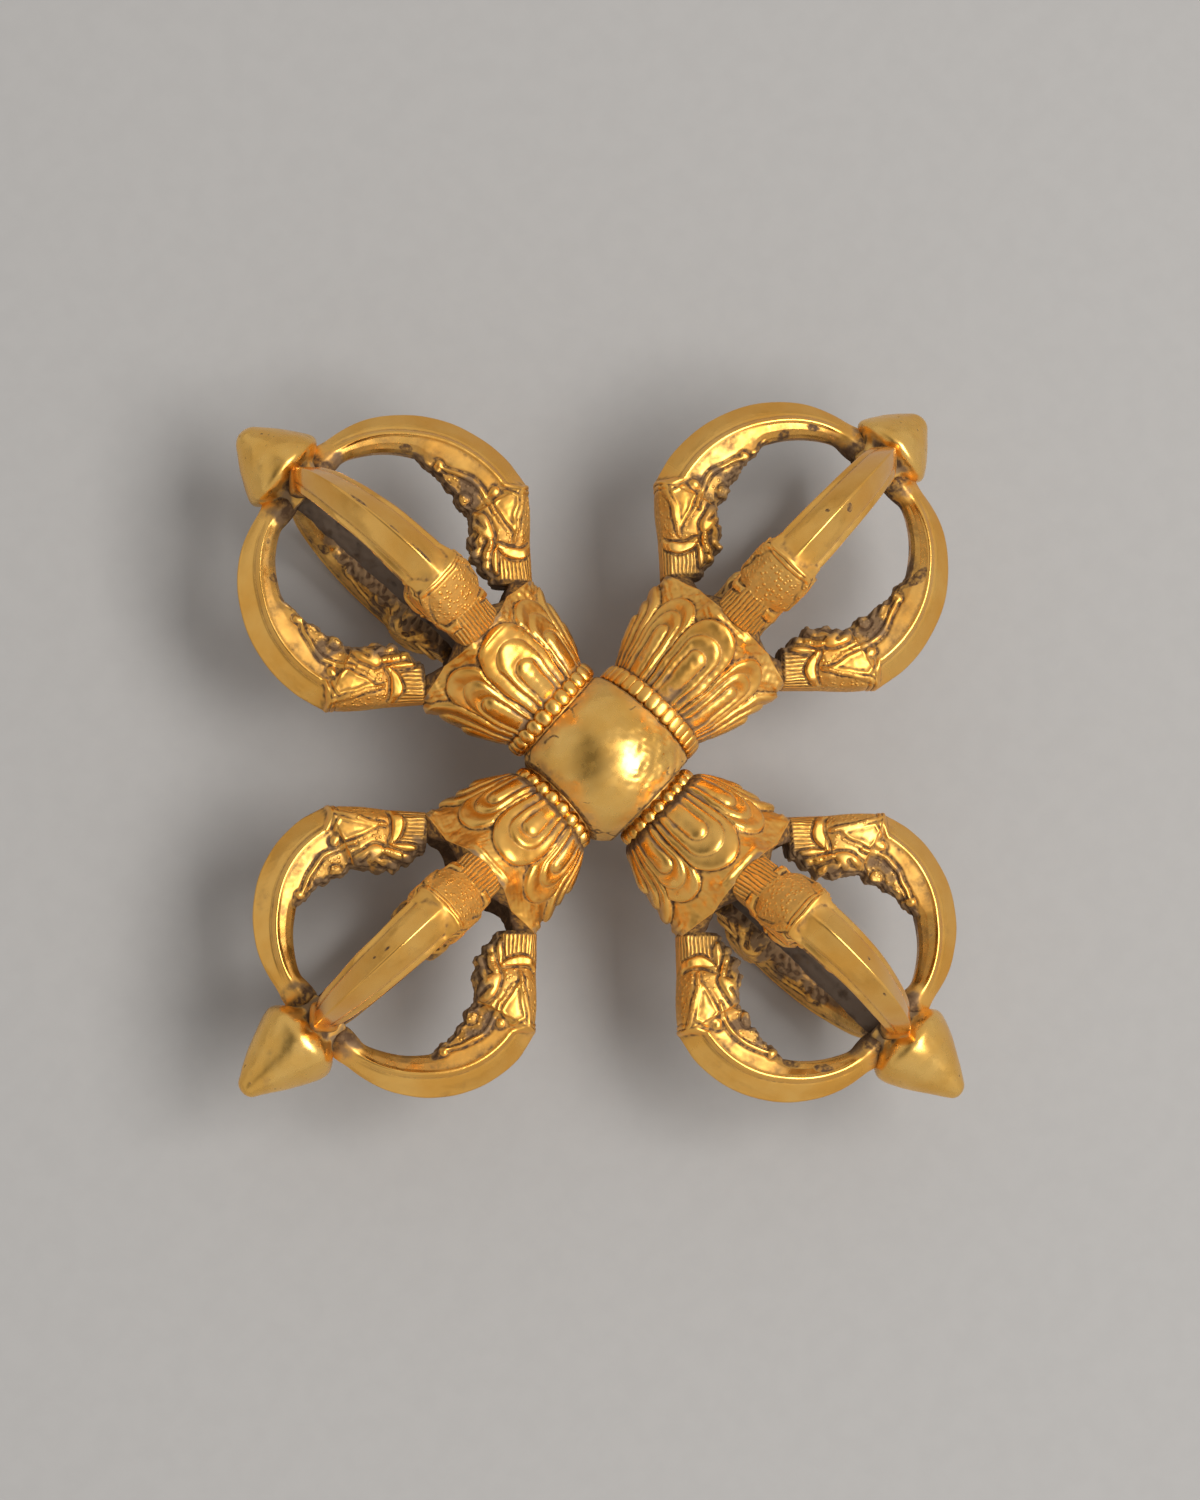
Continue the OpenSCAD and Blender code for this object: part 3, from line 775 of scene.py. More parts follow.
@dataclass(frozen=True)
class LotusCup:
    """Cup of eight petals, round at the foot and four-cornered at the rim, with a shallow dish."""

    arm: ArmFrame
    cup_x: float
    cup_l: float
    petal_l: float
    line_halves: tuple[float, ...]
    line_ends: tuple[float, ...]
    cast_rough: float
    petal_dull: float
    seed: int
    foot_r: float = 6.3
    corner_r: float = 11.6
    side_r: float = 9.6
    side_rise: float = 0.8
    corner_half: float = 3.5
    corner_swell: float = 0.6
    side_swell: float = 0.34
    rim_draw: float = 2.2
    seat: float = CORNER_SEAT
    seat_slope: float = SEAT_SLOPE
    rim_t: float = 0.7
    rim_edge: float = 0.08
    dish_depth: float = 1.6
    dish_r: float = 7.3
    bore_r: float = 2.0
    columns: int = 440
    flank_rows: int = 112
    dish_rows: int = 24
    petals: tuple[int, ...] = (1, 3, 5, 7, 0, 2, 4, 6)
    line_levels: tuple[float, ...] = (0.85, 0.68, 0.42)
    line_crests: tuple[float, ...] = (0.72, 0.42, 0.42)
    line_skew: float = 0.62
    foot_share: float = 0.78
    drop_foot: float = 0.45
    ground_drop: float = 0.35
    side_scale: float = 0.9
    shake: float = 0.1
    moat: float = 0.2
    rim_roll: float = 0.2
    level_span: float = 0.46
    bright_dull: float = 0.3
    film_share: float = 0.32
    film_fade: float = 2.6
    # Dirt and painted shade in the crevices: valleys at the foot, rim corners under the prongs, the foot's
    # crease, the dish.
    foot_soil_and_shade: float = 0.52
    rim_soil_and_shade: float = 0.5
    deep_soil_and_shade: float = 0.9
    rim_dull: float = 0.8

    def rim(self, angle: Grid) -> tuple[Grid, Grid]:
        """Radius of the rim, straight over each corner and drawn in between, and the share towards a side.

        Args:
            angle: angle round the arm.

        Returns:
            The radius, and 0 on a corner to 1 in the middle of a side.
        """
        quarter = np.pi / 2.0
        off = np.abs(np.mod(angle + quarter / 2.0, quarter) - quarter / 2.0)
        corner_a = np.arctan(self.corner_half / self.corner_r)
        share = np.clip(off - corner_a, 0.0, None) / (quarter / 2.0 - corner_a)
        drawn = mix(self.side_r, self.corner_r / np.cos(corner_a), (1.0 - share) ** self.rim_draw)
        rim = np.where(share > 0.0, drawn, self.corner_r / np.cos(off))
        return window_mean(rim, 9, -1, "wrap"), share

    def petal(self, along: Grid, across: Grid, size: float) -> tuple[Grid, Grid]:
        """Relief of one petal: a drop inside two nested lips that step down outwards, between U-shaped lines.

        A U-shaped line keeps one half width, which widens from the foot, and closes in a half ellipse.
        A lip is a skewed half sine of the share between its two lines, on a level that falls outwards.

        Args:
            along: distance from the cup's foot.
            across: distance round from the petal's middle.
            size: stretch of the petal.

        Returns:
            Heights, and a mask that is 1 inside the petal.
        """
        spread = mix(self.foot_share, 1.0, ramp(along, -1.0, 6.0))
        gaps = []
        for half, end in zip(self.line_halves, self.line_ends):
            past = np.clip(along - (end * self.petal_l * size - half), 0.0, None)
            gaps.append(half * spread - np.hypot(across, past * spread))
        drop = np.clip(gaps[0] / (self.line_halves[0] * spread), 0.0, 1.0)
        full = mix(self.drop_foot, 1.0, ramp(along, 0.0, self.line_ends[0] * self.petal_l - 1.0))
        dome = self.line_levels[0] + self.line_crests[0] * full * np.sqrt(1.0 - (1.0 - drop) ** 2)
        height = np.where(drop > 0.0, dome, 0.0)
        for k in (1, 2):
            inner, outer = np.clip(-gaps[k - 1], 0.0, None), np.clip(gaps[k], 0.0, None)
            share = outer / np.maximum(inner + outer, 1e-6)
            level = mix(self.line_levels[k], self.line_levels[k - 1], share)
            lip = level + self.line_crests[k] * np.clip(np.sin(np.pi * share**self.line_skew), 0.0, None)
            height = np.where((inner > 0.0) & (outer > 0.0), lip, height)
        return height * mix(0.6, 1.0, ramp(along, -0.5, 2.0)), ramp(gaps[2], -0.2, 0.12)

    def flank(self) -> tuple[Grid, Grid]:
        """Outer face: radius mixed from the foot's circle to the rim by a power of the height, with petals.

        Returns:
            Points, and how proud or sunk each lies, -1 to 1.
        """
        rise = np.linspace(0.0, 1.0, self.flank_rows)[:, None]
        angle = around(self.columns)
        rim, share = self.rim(angle)
        radius = mix(self.foot_r, rim, rise ** mix(self.corner_swell, self.side_swell, share))
        radius = mix(soften(radius, 0, 24), radius, ramp(rise, 0.7, 1.0))
        along = rise * (self.cup_l + self.side_rise * share)
        points = turned(self.cup_x + along, radius, angle)
        shaky = self.shake * Unevenness(self.seed, 5.0).at(points)
        relief, covered = np.zeros_like(radius), np.zeros_like(radius)
        rng = np.random.default_rng(self.seed)
        for number in self.petals:
            off = angle - number * np.pi / 4.0 + rng.uniform(-0.03, 0.03)
            turn = np.mod(off + np.pi, 2.0 * np.pi) - np.pi
            scale = self.side_scale if number % 2 else 1.0
            across = (mix(self.foot_r + 0.4, radius, 0.9) * turn + shaky) / scale
            height, inside = self.petal(along + shaky, across, rng.uniform(0.96, 1.03))
            relief = mix(relief - self.moat * ramp(inside, 0.0, 0.4), height, inside)
            covered = np.maximum(covered, inside)
        relief = relief + uneven(points, (0.02, self.seed + 1, 1.3), (0.06, self.seed + 2, 5.0))
        cast = uneven(points, (0.09, self.seed + 4, 2.0), (0.05, self.seed + 5, 0.9))
        relief = relief + self.cast_rough * cast * (1.0 - covered) * ramp(rise, 0.3, 0.5)
        level = relief - soften(relief, 5, 6)
        relief = relief - self.ground_drop * ramp(rise, 0.0, 0.15) * (1.0 - ramp(rise, 0.7, 0.97))
        rolled = mound(along - self.cup_l + 1.25, 0.5) * (1.0 - ramp(share, 0.0, 0.12))
        relief = (relief + self.rim_roll * rolled) * ramp(1.0 - rise, 0.0, 0.03)
        return lifted(points, relief), np.clip(level / self.level_span, -1.0, 1.0)

    def dish(self) -> Grid:
        """Rim and dish: from the rim down its seats, then in to the dish's floor, straight between rings."""
        angle = around(self.columns)[0]
        rim, share = self.rim(angle)
        top = self.cup_x + self.cup_l + self.side_rise * share
        inner_x = top + self.seat * np.sin(self.seat_slope) * (1.0 - share)
        inner_r = rim - mix(self.seat * np.cos(self.seat_slope), self.rim_t, share)
        floor = np.full(share.shape, self.cup_x + self.cup_l + self.side_rise - self.dish_depth)
        wall = np.full(share.shape, self.dish_r)
        bore = np.full(share.shape, self.bore_r)
        xs = np.stack([top, top + self.rim_edge, inner_x, inner_x - 0.2, floor + 0.4, floor, floor])
        rs = np.stack([rim, rim - self.rim_edge, inner_r, inner_r - 0.12, wall + 0.3, wall - 0.4, bore])
        steps = np.linspace(0.0, len(xs) - 1, self.dish_rows)[1:]
        low = np.minimum(steps.astype(int), len(xs) - 2)
        part = (steps - low)[:, None]
        points = turned(mix(xs[low], xs[low + 1], part), mix(rs[low], rs[low + 1], part), angle)
        points[..., 0] += 0.06 * Unevenness(self.seed + 3, 1.4).at(points) * ramp(steps, 0.6, 1.8)[:, None]
        return points

    def build(self) -> Piece:
        """Cup as one closed shell: flank, rim and dish."""
        flank, level = self.flank()
        dish = self.dish()
        plain = np.zeros(dish.shape[:2])
        rows = np.linspace(0.0, 6.0, len(dish))[:, None]
        rise = np.linspace(0.0, 1.0, len(level))[:, None]
        _, share = self.rim(around(self.columns))
        film = self.film_share * (self.petal_dull - self.bright_dull)
        level = level * (1.0 - self.film_fade * film) - film
        # Dirt and painted shade in the crease where the cup meets the collar.
        level = level - self.deep_soil_and_shade * (1.0 - ramp(rise, 0.01, 0.08))
        # The rim's inner seats and the dish, inside the cage, are sunk in value: dirt and painted shade.
        relief = np.concatenate([level, -self.deep_soil_and_shade * ramp(rows, 0.1, 0.9) + plain])
        # Dusting and painted shade at the rim's corners under the prongs and in the valleys at the foot.
        dusty_and_shaded = self.rim_soil_and_shade * ramp(rise, 0.9, 0.99) * (1.0 - ramp(share, 0.0, 0.25))
        foot = self.foot_soil_and_shade * (1.0 - ramp(rise, 0.12, 0.42)) * (1.0 - ramp(level, -0.15, 0.2))
        # The dish takes full dusting as painted shade.
        shade = np.concatenate([np.maximum(dusty_and_shaded, foot), ramp(rows, 1.0, 2.0) + plain])
        dull = mix(self.petal_dull, self.rim_dull, ramp(rise, 0.5, 0.85)) + 0.0 * share
        dull = np.concatenate([dull, plain + 1.0])
        points = self.arm.place(np.concatenate([flank, dish]))
        return shell(self.arm.node("cup"), points, relief=relief, shade=shade, dull=dull)


@dataclass(frozen=True)
class MakaraHead:
    """Chased relief of a sea-monster head: s runs from its foot to the elbow, d inwards, in millimetres."""

    rib_pitch: float = 0.6
    crest_s: float = 12.45
    crescent: Stroke = Stroke(
        ((4.6, 0.1), (3.6, 1.0), (3.15, 2.4), (3.4, 3.9), (4.3, 5.1)),
        0.85, 0.45, Section.BAND, 0.6, 0.0, 0.24)
    lip: Stroke = Stroke(
        ((9.2, 5.5), (10.6, 6.0), (12.2, 6.6), (13.8, 7.6), (15.2, 10.3), (16.2, 12.8)),
        0.34, 0.36, Section.ROUND, 0.3, 0.0, 0.22)
    strokes: tuple[Stroke, ...] = (
        Stroke(((12.9, 0.6), (13.1, 2.2), (13.3, 3.8)), 0.45, 0.3, Section.ROUND, 0.35, 0.0, 0.08),
        Stroke(((5.0, 2.6), (7.9, 2.2), (11.1, 1.3), (12.5, 1.0)), 0.42, 0.34, Section.ROUND, 0.3, 0.0, 0.1),
        Stroke(((6.4, 3.6), (8.2, 4.7), (9.9, 5.8)), 0.2, 0.18, Section.ROUND, 0.4, 0.0, 0.1),
        Stroke(((3.9, 5.4), (2.4, 5.5), (0.4, 5.6)), 0.62, 0.42, Section.ROUND, 0.65, 0.0, 0.26),
        Stroke(((4.9, 6.2), (3.2, 6.6), (0.6, 7.1)), 0.66, 0.6, Section.ROUND, 0.3, 0.46, 0.28),
        Stroke(((5.8, 7.6), (4.3, 8.0), (2.4, 8.6)), 0.8, 0.5, Section.ROUND, 0.6, 0.0, 0.28),
        Stroke(((6.8, 9.2), (5.7, 9.6), (4.2, 10.2)), 0.8, 0.5, Section.ROUND, 0.5, 0.5, 0.28),
        Stroke(((9.6, 9.4), (8.9, 10.0), (7.9, 10.7)), 0.7, 0.45, Section.ROUND, 0.5, 0.0, 0.24),
    )
    jewel: Path = ((6.3, 2.85), (11.4, 1.9), (12.4, 3.8), (10.4, 5.3))
    curl: tuple[float, float, float, float, float] = (7.3, 7.2, 2.5, 1.25, np.radians(31.0))
    bumps: tuple[tuple[float, float, float, float], ...] = (
        (12.2, 5.3, 0.75, 0.5), (16.3, 13.2, 0.75, 0.5), (11.4, 9.6, 0.95, 0.4),
    )
    bump_moat: float = 0.18
    curl_h: float = 0.6
    curl_slit: float = 0.7
    curl_moat: float = 0.24
    jewel_rim: float = 0.26
    jewel_edge: float = 0.2
    jewel_slope: float = 0.14
    jewel_moat: float = 0.14
    cheek_h: float = 0.1
    border_h: float = 0.1
    border_moat: float = 0.1
    swell_h: float = 0.15
    horn_step: float = 0.12
    neck_off: float = 0.95

    def jewel_gap(self, s: Grid, d: Grid) -> Grid:
        """Distance in from the nearest edge of the jewel, below 0 outside it."""
        corners = np.asarray(self.jewel)
        middle = corners.mean(0)
        gap = np.full(s.shape, 1e9)
        for start, end in zip(corners, np.roll(corners, -1, axis=0)):
            edge = (end - start) / np.hypot(*(end - start))
            inward = np.array([-edge[1], edge[0]])
            inward = inward if inward @ (middle - start) > 0.0 else -inward
            gap = np.minimum(gap, (s - start[0]) * inward[0] + (d - start[1]) * inward[1])
        return gap

    def lip_d(self, s: Grid) -> Grid:
        """Depth of the upper lip's line at each place along the head."""
        path = np.asarray(self.lip.path)
        return np.interp(s, path[:, 0], path[:, 1])

    def neck_end(self, d: Grid) -> Grid:
        """Where the crescent's edge ends the neck, at each depth."""
        path = np.asarray(self.crescent.path)
        return np.interp(d, path[:, 1], path[:, 0]) - self.neck_off

    def side(self, s: Grid, d: Grid) -> Grid:
        """Relief of the head's side: crescent, cheek, jewelled eye, lip, curl and mane.

        Raised forms are merged by their greatest height; grooves round them show where nothing is raised.

        Args:
            s: distance along the head.
            d: depth in from its outer line.

        Returns:
            Heights in millimetres.
        """
        raised, groove = self.crescent.at(s, d)
        for stroke in (self.lip, *self.strokes):
            height, cut = stroke.at(s, d)
            raised, groove = np.maximum(raised, height), np.minimum(groove, cut)
        for x, y, reach, high in self.bumps:
            gap = np.hypot(s - x, d - y)
            raised = np.maximum(raised, high * np.sqrt(np.clip(1.0 - (gap / reach) ** 2, 0.0, None)))
            groove = np.minimum(groove, -self.bump_moat * mound(gap - reach - 0.1, 0.3))
        x, y, long, wide, tilt = self.curl
        c, k = np.cos(tilt), np.sin(tilt)
        u, v = (s - x) * c + (d - y) * k, (d - y) * c - (s - x) * k
        almond = np.hypot(u / long, v / wide)
        lobe = self.curl_h * np.clip(1.0 - almond**4, 0.0, None) ** 0.7
        slit = mound(np.hypot(np.clip(np.abs(u - 0.5) - 0.8, 0.0, None), v - 0.15 * u), 0.5)
        raised = np.maximum(raised, lobe * (1.0 - self.curl_slit * slit))
        groove = np.minimum(groove, -self.curl_moat * mound(almond - 1.1, 0.2))
        jewel = self.jewel_gap(s, d)
        rim = self.jewel_rim * np.clip(1.0 - ((jewel - 0.1) / self.jewel_rim) ** 2, 0.0, None)
        facet = 0.02 + self.jewel_slope * np.clip(jewel - self.jewel_edge, 0.0, 0.8)
        stone = np.where(jewel > self.jewel_edge, facet, 0.0)
        raised = np.maximum(raised, np.maximum(rim, stone))
        groove = np.minimum(groove, -self.jewel_moat * mound(jewel + 0.3, 0.26))
        face = self.cheek_h * mound(np.hypot((s - 7.4) / 3.6, (d - 1.6) / 2.8), 1.0)
        bare = 1.0 - ramp(raised, 0.02, 0.12)
        return soften(raised + face + groove * bare, 1, 1)

    def crown(self, s: Grid, y: Grid) -> Grid:
        """Relief of the head's outer face: a swell, two border lines and the step to the horn.

        Args:
            s: distance along the head.
            y: distance from the middle of the face.

        Returns:
            Heights in millimetres.
        """
        bow = self.crest_s - 0.018 * y * y
        border = self.border_h * np.clip(1.0 - ((s - bow) / 0.3) ** 2, 0.0, None)
        second = self.border_h * np.clip(1.0 - ((s - bow - 0.7) / 0.34) ** 2, 0.0, None)
        border = np.maximum(border, second)
        groove = -self.border_moat * (mound(s - bow + 0.42, 0.22) + mound(s - bow - 0.36, 0.14))
        swell = self.swell_h * mound(s - 8.8, 4.0)
        step = -self.horn_step * ramp(s, bow + 0.9, bow + 1.3)
        return border + groove + swell + step

    def masks(self, s: Grid, d: Grid, sideways: Grid) -> tuple[Grid, Grid]:
        """Where the neck is ribbed, and where cheek, jaw and crown are punched.

        Args:
            s: distance along the head.
            d: depth in from its outer line.
            sideways: 1 on the head's sides, 0 on its crown and underside.

        Returns:
            The two masks, 0 to 1.
        """
        end = mix(5.0, self.neck_end(d), sideways)
        ribbed = ramp(s, -0.9, -0.4) * (1.0 - ramp(s, end - 0.25, end + 0.1)) * (1.0 - ramp(d, 4.8, 5.6))
        cheek = ramp(s, 4.2, 4.8) * (1.0 - ramp(s, 11.2, 11.9)) * (1.0 - ramp(d, 4.6, 5.4))
        cheek = cheek * (1.0 - ramp(self.jewel_gap(s, d), -0.5, -0.1) * sideways)
        jaw = ramp(d - self.lip_d(s), 0.3, 0.8) * ramp(s, 9.0, 10.0) * (1.0 - ramp(s, 15.6, 16.4))
        return ribbed, np.maximum(cheek, jaw * sideways)


@dataclass(frozen=True)
class OuterProng:
    """Outer prong of a cage: a makara head on the cup's corner, whose long horn curves to the finial."""

    arm: ArmFrame
    side: Side
    seed: int
    foot_x: float
    horn_x: float
    horn_l: float
    head: MakaraHead = MakaraHead()
    corner_r: float = 12.3
    slope: float = SEAT_SLOPE
    horn_z: float = 4.4
    horn_r: float = 18.7
    elbow_a: float = np.radians(108.5)
    jaw_a: float = np.radians(56.0)
    foot_w: float = 7.1
    neck_w: float = 7.3
    cheek_w: float = 8.6
    head_w: float = 9.0
    horn_w: float = 7.2
    tip_w: float = 3.8
    foot_h: float = 6.4
    neck_h: float = 8.8
    head_h: float = 10.0
    jaw_h: float = 7.1
    horn_h: float = 6.2
    tip_h: float = 3.7
    lap: float = 1.2
    sink: float = 1.3
    marks: tuple[tuple[float, float, float, float], ...] = ()
    ridge_drop: float = 3.4
    ridge_share: float = 0.55
    edge_h: float = 0.16
    edge_moat: float = 0.09
    crest_h: float = 0.02
    under_rough: float = 0.16
    flare_x: float = 0.5
    flare_w: float = 0.7
    flare_h: float = 1.1
    fleck_soil: float = 1.4
    stain_soil: float = 0.8
    # Dark film on the horn's inner faces: brown dirt, and a painted dark reflection of the cage's inside.
    horn_film_and_shade: float = 0.34
    head_film: float = 0.2
    # Painted shade on the faces that look into the cage.
    away_shade: float = 0.75
    # Dusting on the mane, real dirt, and on the lower neck, dirt and painted shade.
    mane_dust_and_shade: float = 0.55
    # Dusting on the horn's inner faces, also as painted shade.
    inner_dust_and_shade: float = 0.25
    joint_shade: float = 0.45
    shake: float = 0.13
    level_span: float = 0.22
    rings: tuple[int, int, int] = (124, 78, 48)
    spans: tuple[int, ...] = (13, 14, 23, 22, 11, 6)
    lobes: tuple[tuple[float, float, float], ...] = (
        (0.55, 0.13, 0.1), (0.55, 0.33, 0.11), (0.55, 0.6, 0.16), (0.55, 1.12, 0.09), (0.3, 1.28, 0.06),
    )
    head_depths: tuple[float, ...] = (0.0, 0.03, 0.18, 0.5, 0.82, 1.0, 1.0)
    head_halves: tuple[float, ...] = (0.0, 0.55, 0.96, 1.0, 0.92, 0.55, 0.0)
    horn_halves: tuple[float, ...] = (0.0, 0.53, 1.0, 0.84, 0.62, 0.36, 0.0)

    @property
    def head_l(self) -> float:
        """Length of the head's outer line, from the cup's corner to the elbow."""
        return (self.horn_z + self.horn_r * np.sin(self.elbow_a) - self.corner_r) / np.sin(self.slope)

    @property
    def foot_t(self) -> float:
        """Station of the neck's foot, which laps the cup's corner."""
        return -self.lap / self.head_l

    @property
    def jaw_station(self) -> float:
        """Station of the jaw's tip: 0 is the foot, 1 the elbow, 2 the horn's end."""
        return 2.0 - self.jaw_a / self.elbow_a

    def stations(self) -> Grid:
        """Stations of the rings: even steps over the head, the jaw and the bare horn."""
        head, jaw, horn = self.rings
        over_head = np.linspace(self.foot_t, 1.0, head, endpoint=False)
        over_jaw = np.linspace(1.0, self.jaw_station, jaw, endpoint=False)
        return np.concatenate([over_head, over_jaw, np.linspace(self.jaw_station, 2.0, horn)])

    def ridge(self, t: Grid) -> Grid:
        """Depth of the horn's two side edges below its crest."""
        return np.minimum(self.ridge_drop, self.ridge_share * self.depth(t))

    def depth(self, t: Grid) -> Grid:
        """Depth of the section: stepped from neck to head, thinning along jaw and horn, with lobes below."""
        tip = self.jaw_station
        head = np.interp(t, [0.0, 0.34, 1.0], [self.foot_h, self.neck_h, self.head_h])
        past = np.clip((t - 1.0) / (tip - 1.0), 0.0, 1.0)
        jaw = mix(self.head_h, self.jaw_h, past**2)
        end = np.clip((t - tip - 0.05) / (1.95 - tip), 0.0, 1.0)
        horn = mix(self.horn_h, self.tip_h, end**1.2)
        lobes = sum(high * mound(t - place, reach) for high, place, reach in self.lobes)
        lobes = lobes + 0.35 * mound(t - tip + 0.03, 0.05) - 0.25
        body = np.where(t <= 1.0, head, jaw) + lobes * (1.0 - ramp(t, tip - 0.02, tip + 0.02))
        return mix(body, horn, ramp(t, tip - 0.015, tip + 0.05)) + self.flare_h * self.flare(t)

    def half(self, t: Grid) -> Grid:
        """Half width of the section: even neck, full cheek, then the horn narrowing late towards its end."""
        widths = [self.foot_w, self.neck_w, self.cheek_w, self.head_w, self.head_w - 0.3]
        head = np.interp(t, [0.0, 0.35, 0.46, 0.8, 1.0], widths)
        horn = mix(self.horn_w, self.tip_w, np.clip((t - 1.06) / 0.94, 0.0, 1.0) ** 1.6)
        return 0.5 * mix(head, horn, ramp(t, 0.97, 1.05)) + self.flare_w * self.flare(t)

    def flare(self, t: Grid) -> Grid:
        """Solder at the horn's end, 0 to 1: the square of a smooth step."""
        return ramp(t, 1.88, 1.985) ** 2

    def form(self) -> tuple[Grid, Grid, Grid]:
        """Plain form of the prong: sections square to an outer line that runs straight, then round a circle.

        A head's section is a rounded slab and a horn's is ridged; straight steps join the section's corners
        and are rounded off, more on the head than on the horn.

        Returns:
            Points in the prong's frame, the depth of each below the outer line, and the rings' stations.
        """
        t = self.stations()
        h, w, ridge = self.depth(t), self.half(t), self.ridge(t)
        round_a = self.elbow_a * (2.0 - np.maximum(t, 1.0))
        run, straight = t * self.head_l, t <= 1.0
        arc_x = self.horn_x + self.horn_l * np.cos(round_a)
        arc_z = self.horn_z + self.horn_r * np.sin(round_a)
        out_x = np.where(straight, self.foot_x + run * np.cos(self.slope), arc_x)
        out_x = out_x + self.flare_x * self.flare(t)
        out_z = np.where(straight, self.corner_r + run * np.sin(self.slope), arc_z)
        out_z = out_z - self.sink * ramp(t, 1.955, 2.0)
        turn = np.where(straight, mix(self.slope + np.pi / 2.0, self.elbow_a, t), round_a)
        horny = ramp(t, 0.97, 1.06)[:, None]
        horn_depth = np.stack([0.0 * h, 0.5 * ridge, ridge, mix(ridge, h, 0.55), h - 0.4, h, h], -1)
        depth = mix(np.outer(h, self.head_depths), horn_depth, horny)
        half = mix(np.outer(w, self.head_halves), np.outer(w, self.horn_halves), horny)
        legs = len(self.spans)
        steps = np.concatenate([k + np.arange(n) / n for k, n in enumerate(self.spans)] + [[legs]])
        low = np.minimum(steps.astype(int), legs - 1)
        part = (steps - low)[None]
        depth = mix(depth[:, low], depth[:, low + 1], part)
        half = mix(half[:, low], half[:, low + 1], part)
        depth = np.concatenate([depth, depth[:, -2:0:-1]], 1)
        half = np.concatenate([half, -half[:, -2:0:-1]], 1)
        x = out_x[:, None] - depth * np.cos(turn)[:, None]
        z = out_z[:, None] - depth * np.sin(turn)[:, None]
        points = np.stack([x, half, z], -1)
        points = mix(round_off(points, 2), round_off(points, 8), 1.0 - horny[..., None])
        points = mix(points, round_off(points, 40), ramp(t, 1.72, 1.96)[:, None, None])
        middle = points.mean(axis=1, keepdims=True)
        drawn = 0.1 * (1.0 - ramp(t, self.foot_t, self.foot_t + 0.05))[:, None, None]
        return mix(points, middle, drawn), depth, t

    def flecks(self, t: Grid, y: Grid) -> Grid:
        """Small dark marks on the horn: soft ellipses, each at a station and a distance from the crest."""
        total = np.zeros(y.shape)
        for station, off, long, wide in self.marks:
            total = np.maximum(total, mound(np.hypot((t - station) / long, (y - off) / wide), 1.0))
        return total

    def chase(self, points: Grid, normal: Grid, depth: Grid, t: Grid) -> dict[str, Grid]:
        """Relief over the plain form: the head's side and crown by the way each face looks, and horn lines.

        Args:
            points: the plain form.
            normal: its unit normals.
            depth: depth of each point below the outer line.
            t: stations of the rings.

        Returns:
            Heights in millimetres, soil, which also paints shade on the horn's inner faces and in crevices,
            and the fields shade, dull, ribs, ribbed and punched.
        """
        under = depth - self.ridge(t)[:, None]
        t = t[:, None]
        tip = self.jaw_station
        x, y, z = points[..., 0] - self.foot_x, points[..., 1], points[..., 2] - self.corner_r
        s = x * np.cos(self.slope) + z * np.sin(self.slope) + uneven(points, (self.shake, self.seed, 3.2))
        d = x * np.sin(self.slope) - z * np.cos(self.slope) + uneven(points, (self.shake, self.seed + 1, 3.2))
        sideways = ramp(np.abs(normal[..., 1]), 0.42, 0.74)
        headed = 1.0 - ramp(t, tip + 0.02, tip + 0.08)
        on_crown = (1.0 - ramp(depth, 2.2, 3.2)) * (1.0 - ramp(t, 1.06, 1.12))
        horny, bare = ramp(t, 1.02, 1.08), ramp(t, 1.03, 1.1)
        share = depth / depth.max(axis=1, keepdims=True)
        below = ramp(under, -0.2, 0.3)
        lines = self.edge_h * mound(under, 0.55) - self.edge_moat * mound(under + 0.72, 0.26)
        lines = lines + self.crest_h * mound(depth, 0.4)
        carved = self.head.side(s, d) * sideways * headed * mix(1.0, below, horny)
        crown = self.head.crown(s, y) * (1.0 - sideways) * on_crown
        rough = uneven(points, (self.under_rough, self.seed + 2, 1.2)) * ramp(share, 0.86, 0.97) * headed
        worn = uneven(points, (0.03, self.seed + 3, 6.0), (mix(0.012, 0.003, horny), self.seed + 4, 1.0))
        heights = carved + crown + lines * horny * (1.0 - ramp(t, 1.8, 1.95)) + rough + worn
        ribbed, punched = self.head.masks(s, d, sideways)
        step = np.linalg.norm(np.roll(points, -1, 1) - points, axis=-1)
        run = np.cumsum(step, axis=1) - step
        ribs = np.minimum(run, step.sum(axis=1, keepdims=True) - run) / self.head.rib_pitch
        # Faces at the bottom of the section that look into the cage take dusting: painted shade.
        away = ramp(-normal[..., 2] + 0.35 * normal[..., 0], 0.35, 0.95) * ramp(share, 0.8, 1.0)
        patchy = np.clip(0.6 + 0.5 * Unevenness(self.seed + 5, 3.4).at(points), 0.0, 1.0)
        mane = ramp(d, 4.6, 8.0) * (1.0 - ramp(s, 13.0, 16.0)) * sideways * headed
        # The lower neck, deep in, takes dusting: dirt and painted shade.
        neck = (1.0 - ramp(s, 1.0, 3.4)) * ramp(d, 2.0, 5.0) * headed
        # Dark soil where the neck's foot meets the cup and where the horn meets the bud: dirt and painted
        # shade.
        ends = mound(t - self.foot_t, 0.08) * 0.8 + mound(t - 2.0, 0.04)
        spots = ramp(Unevenness(self.seed + 6, 3.6).at(points), 1.0, 1.5)
        stains = self.stain_soil * spots * ramp(under, 0.2, 0.9)
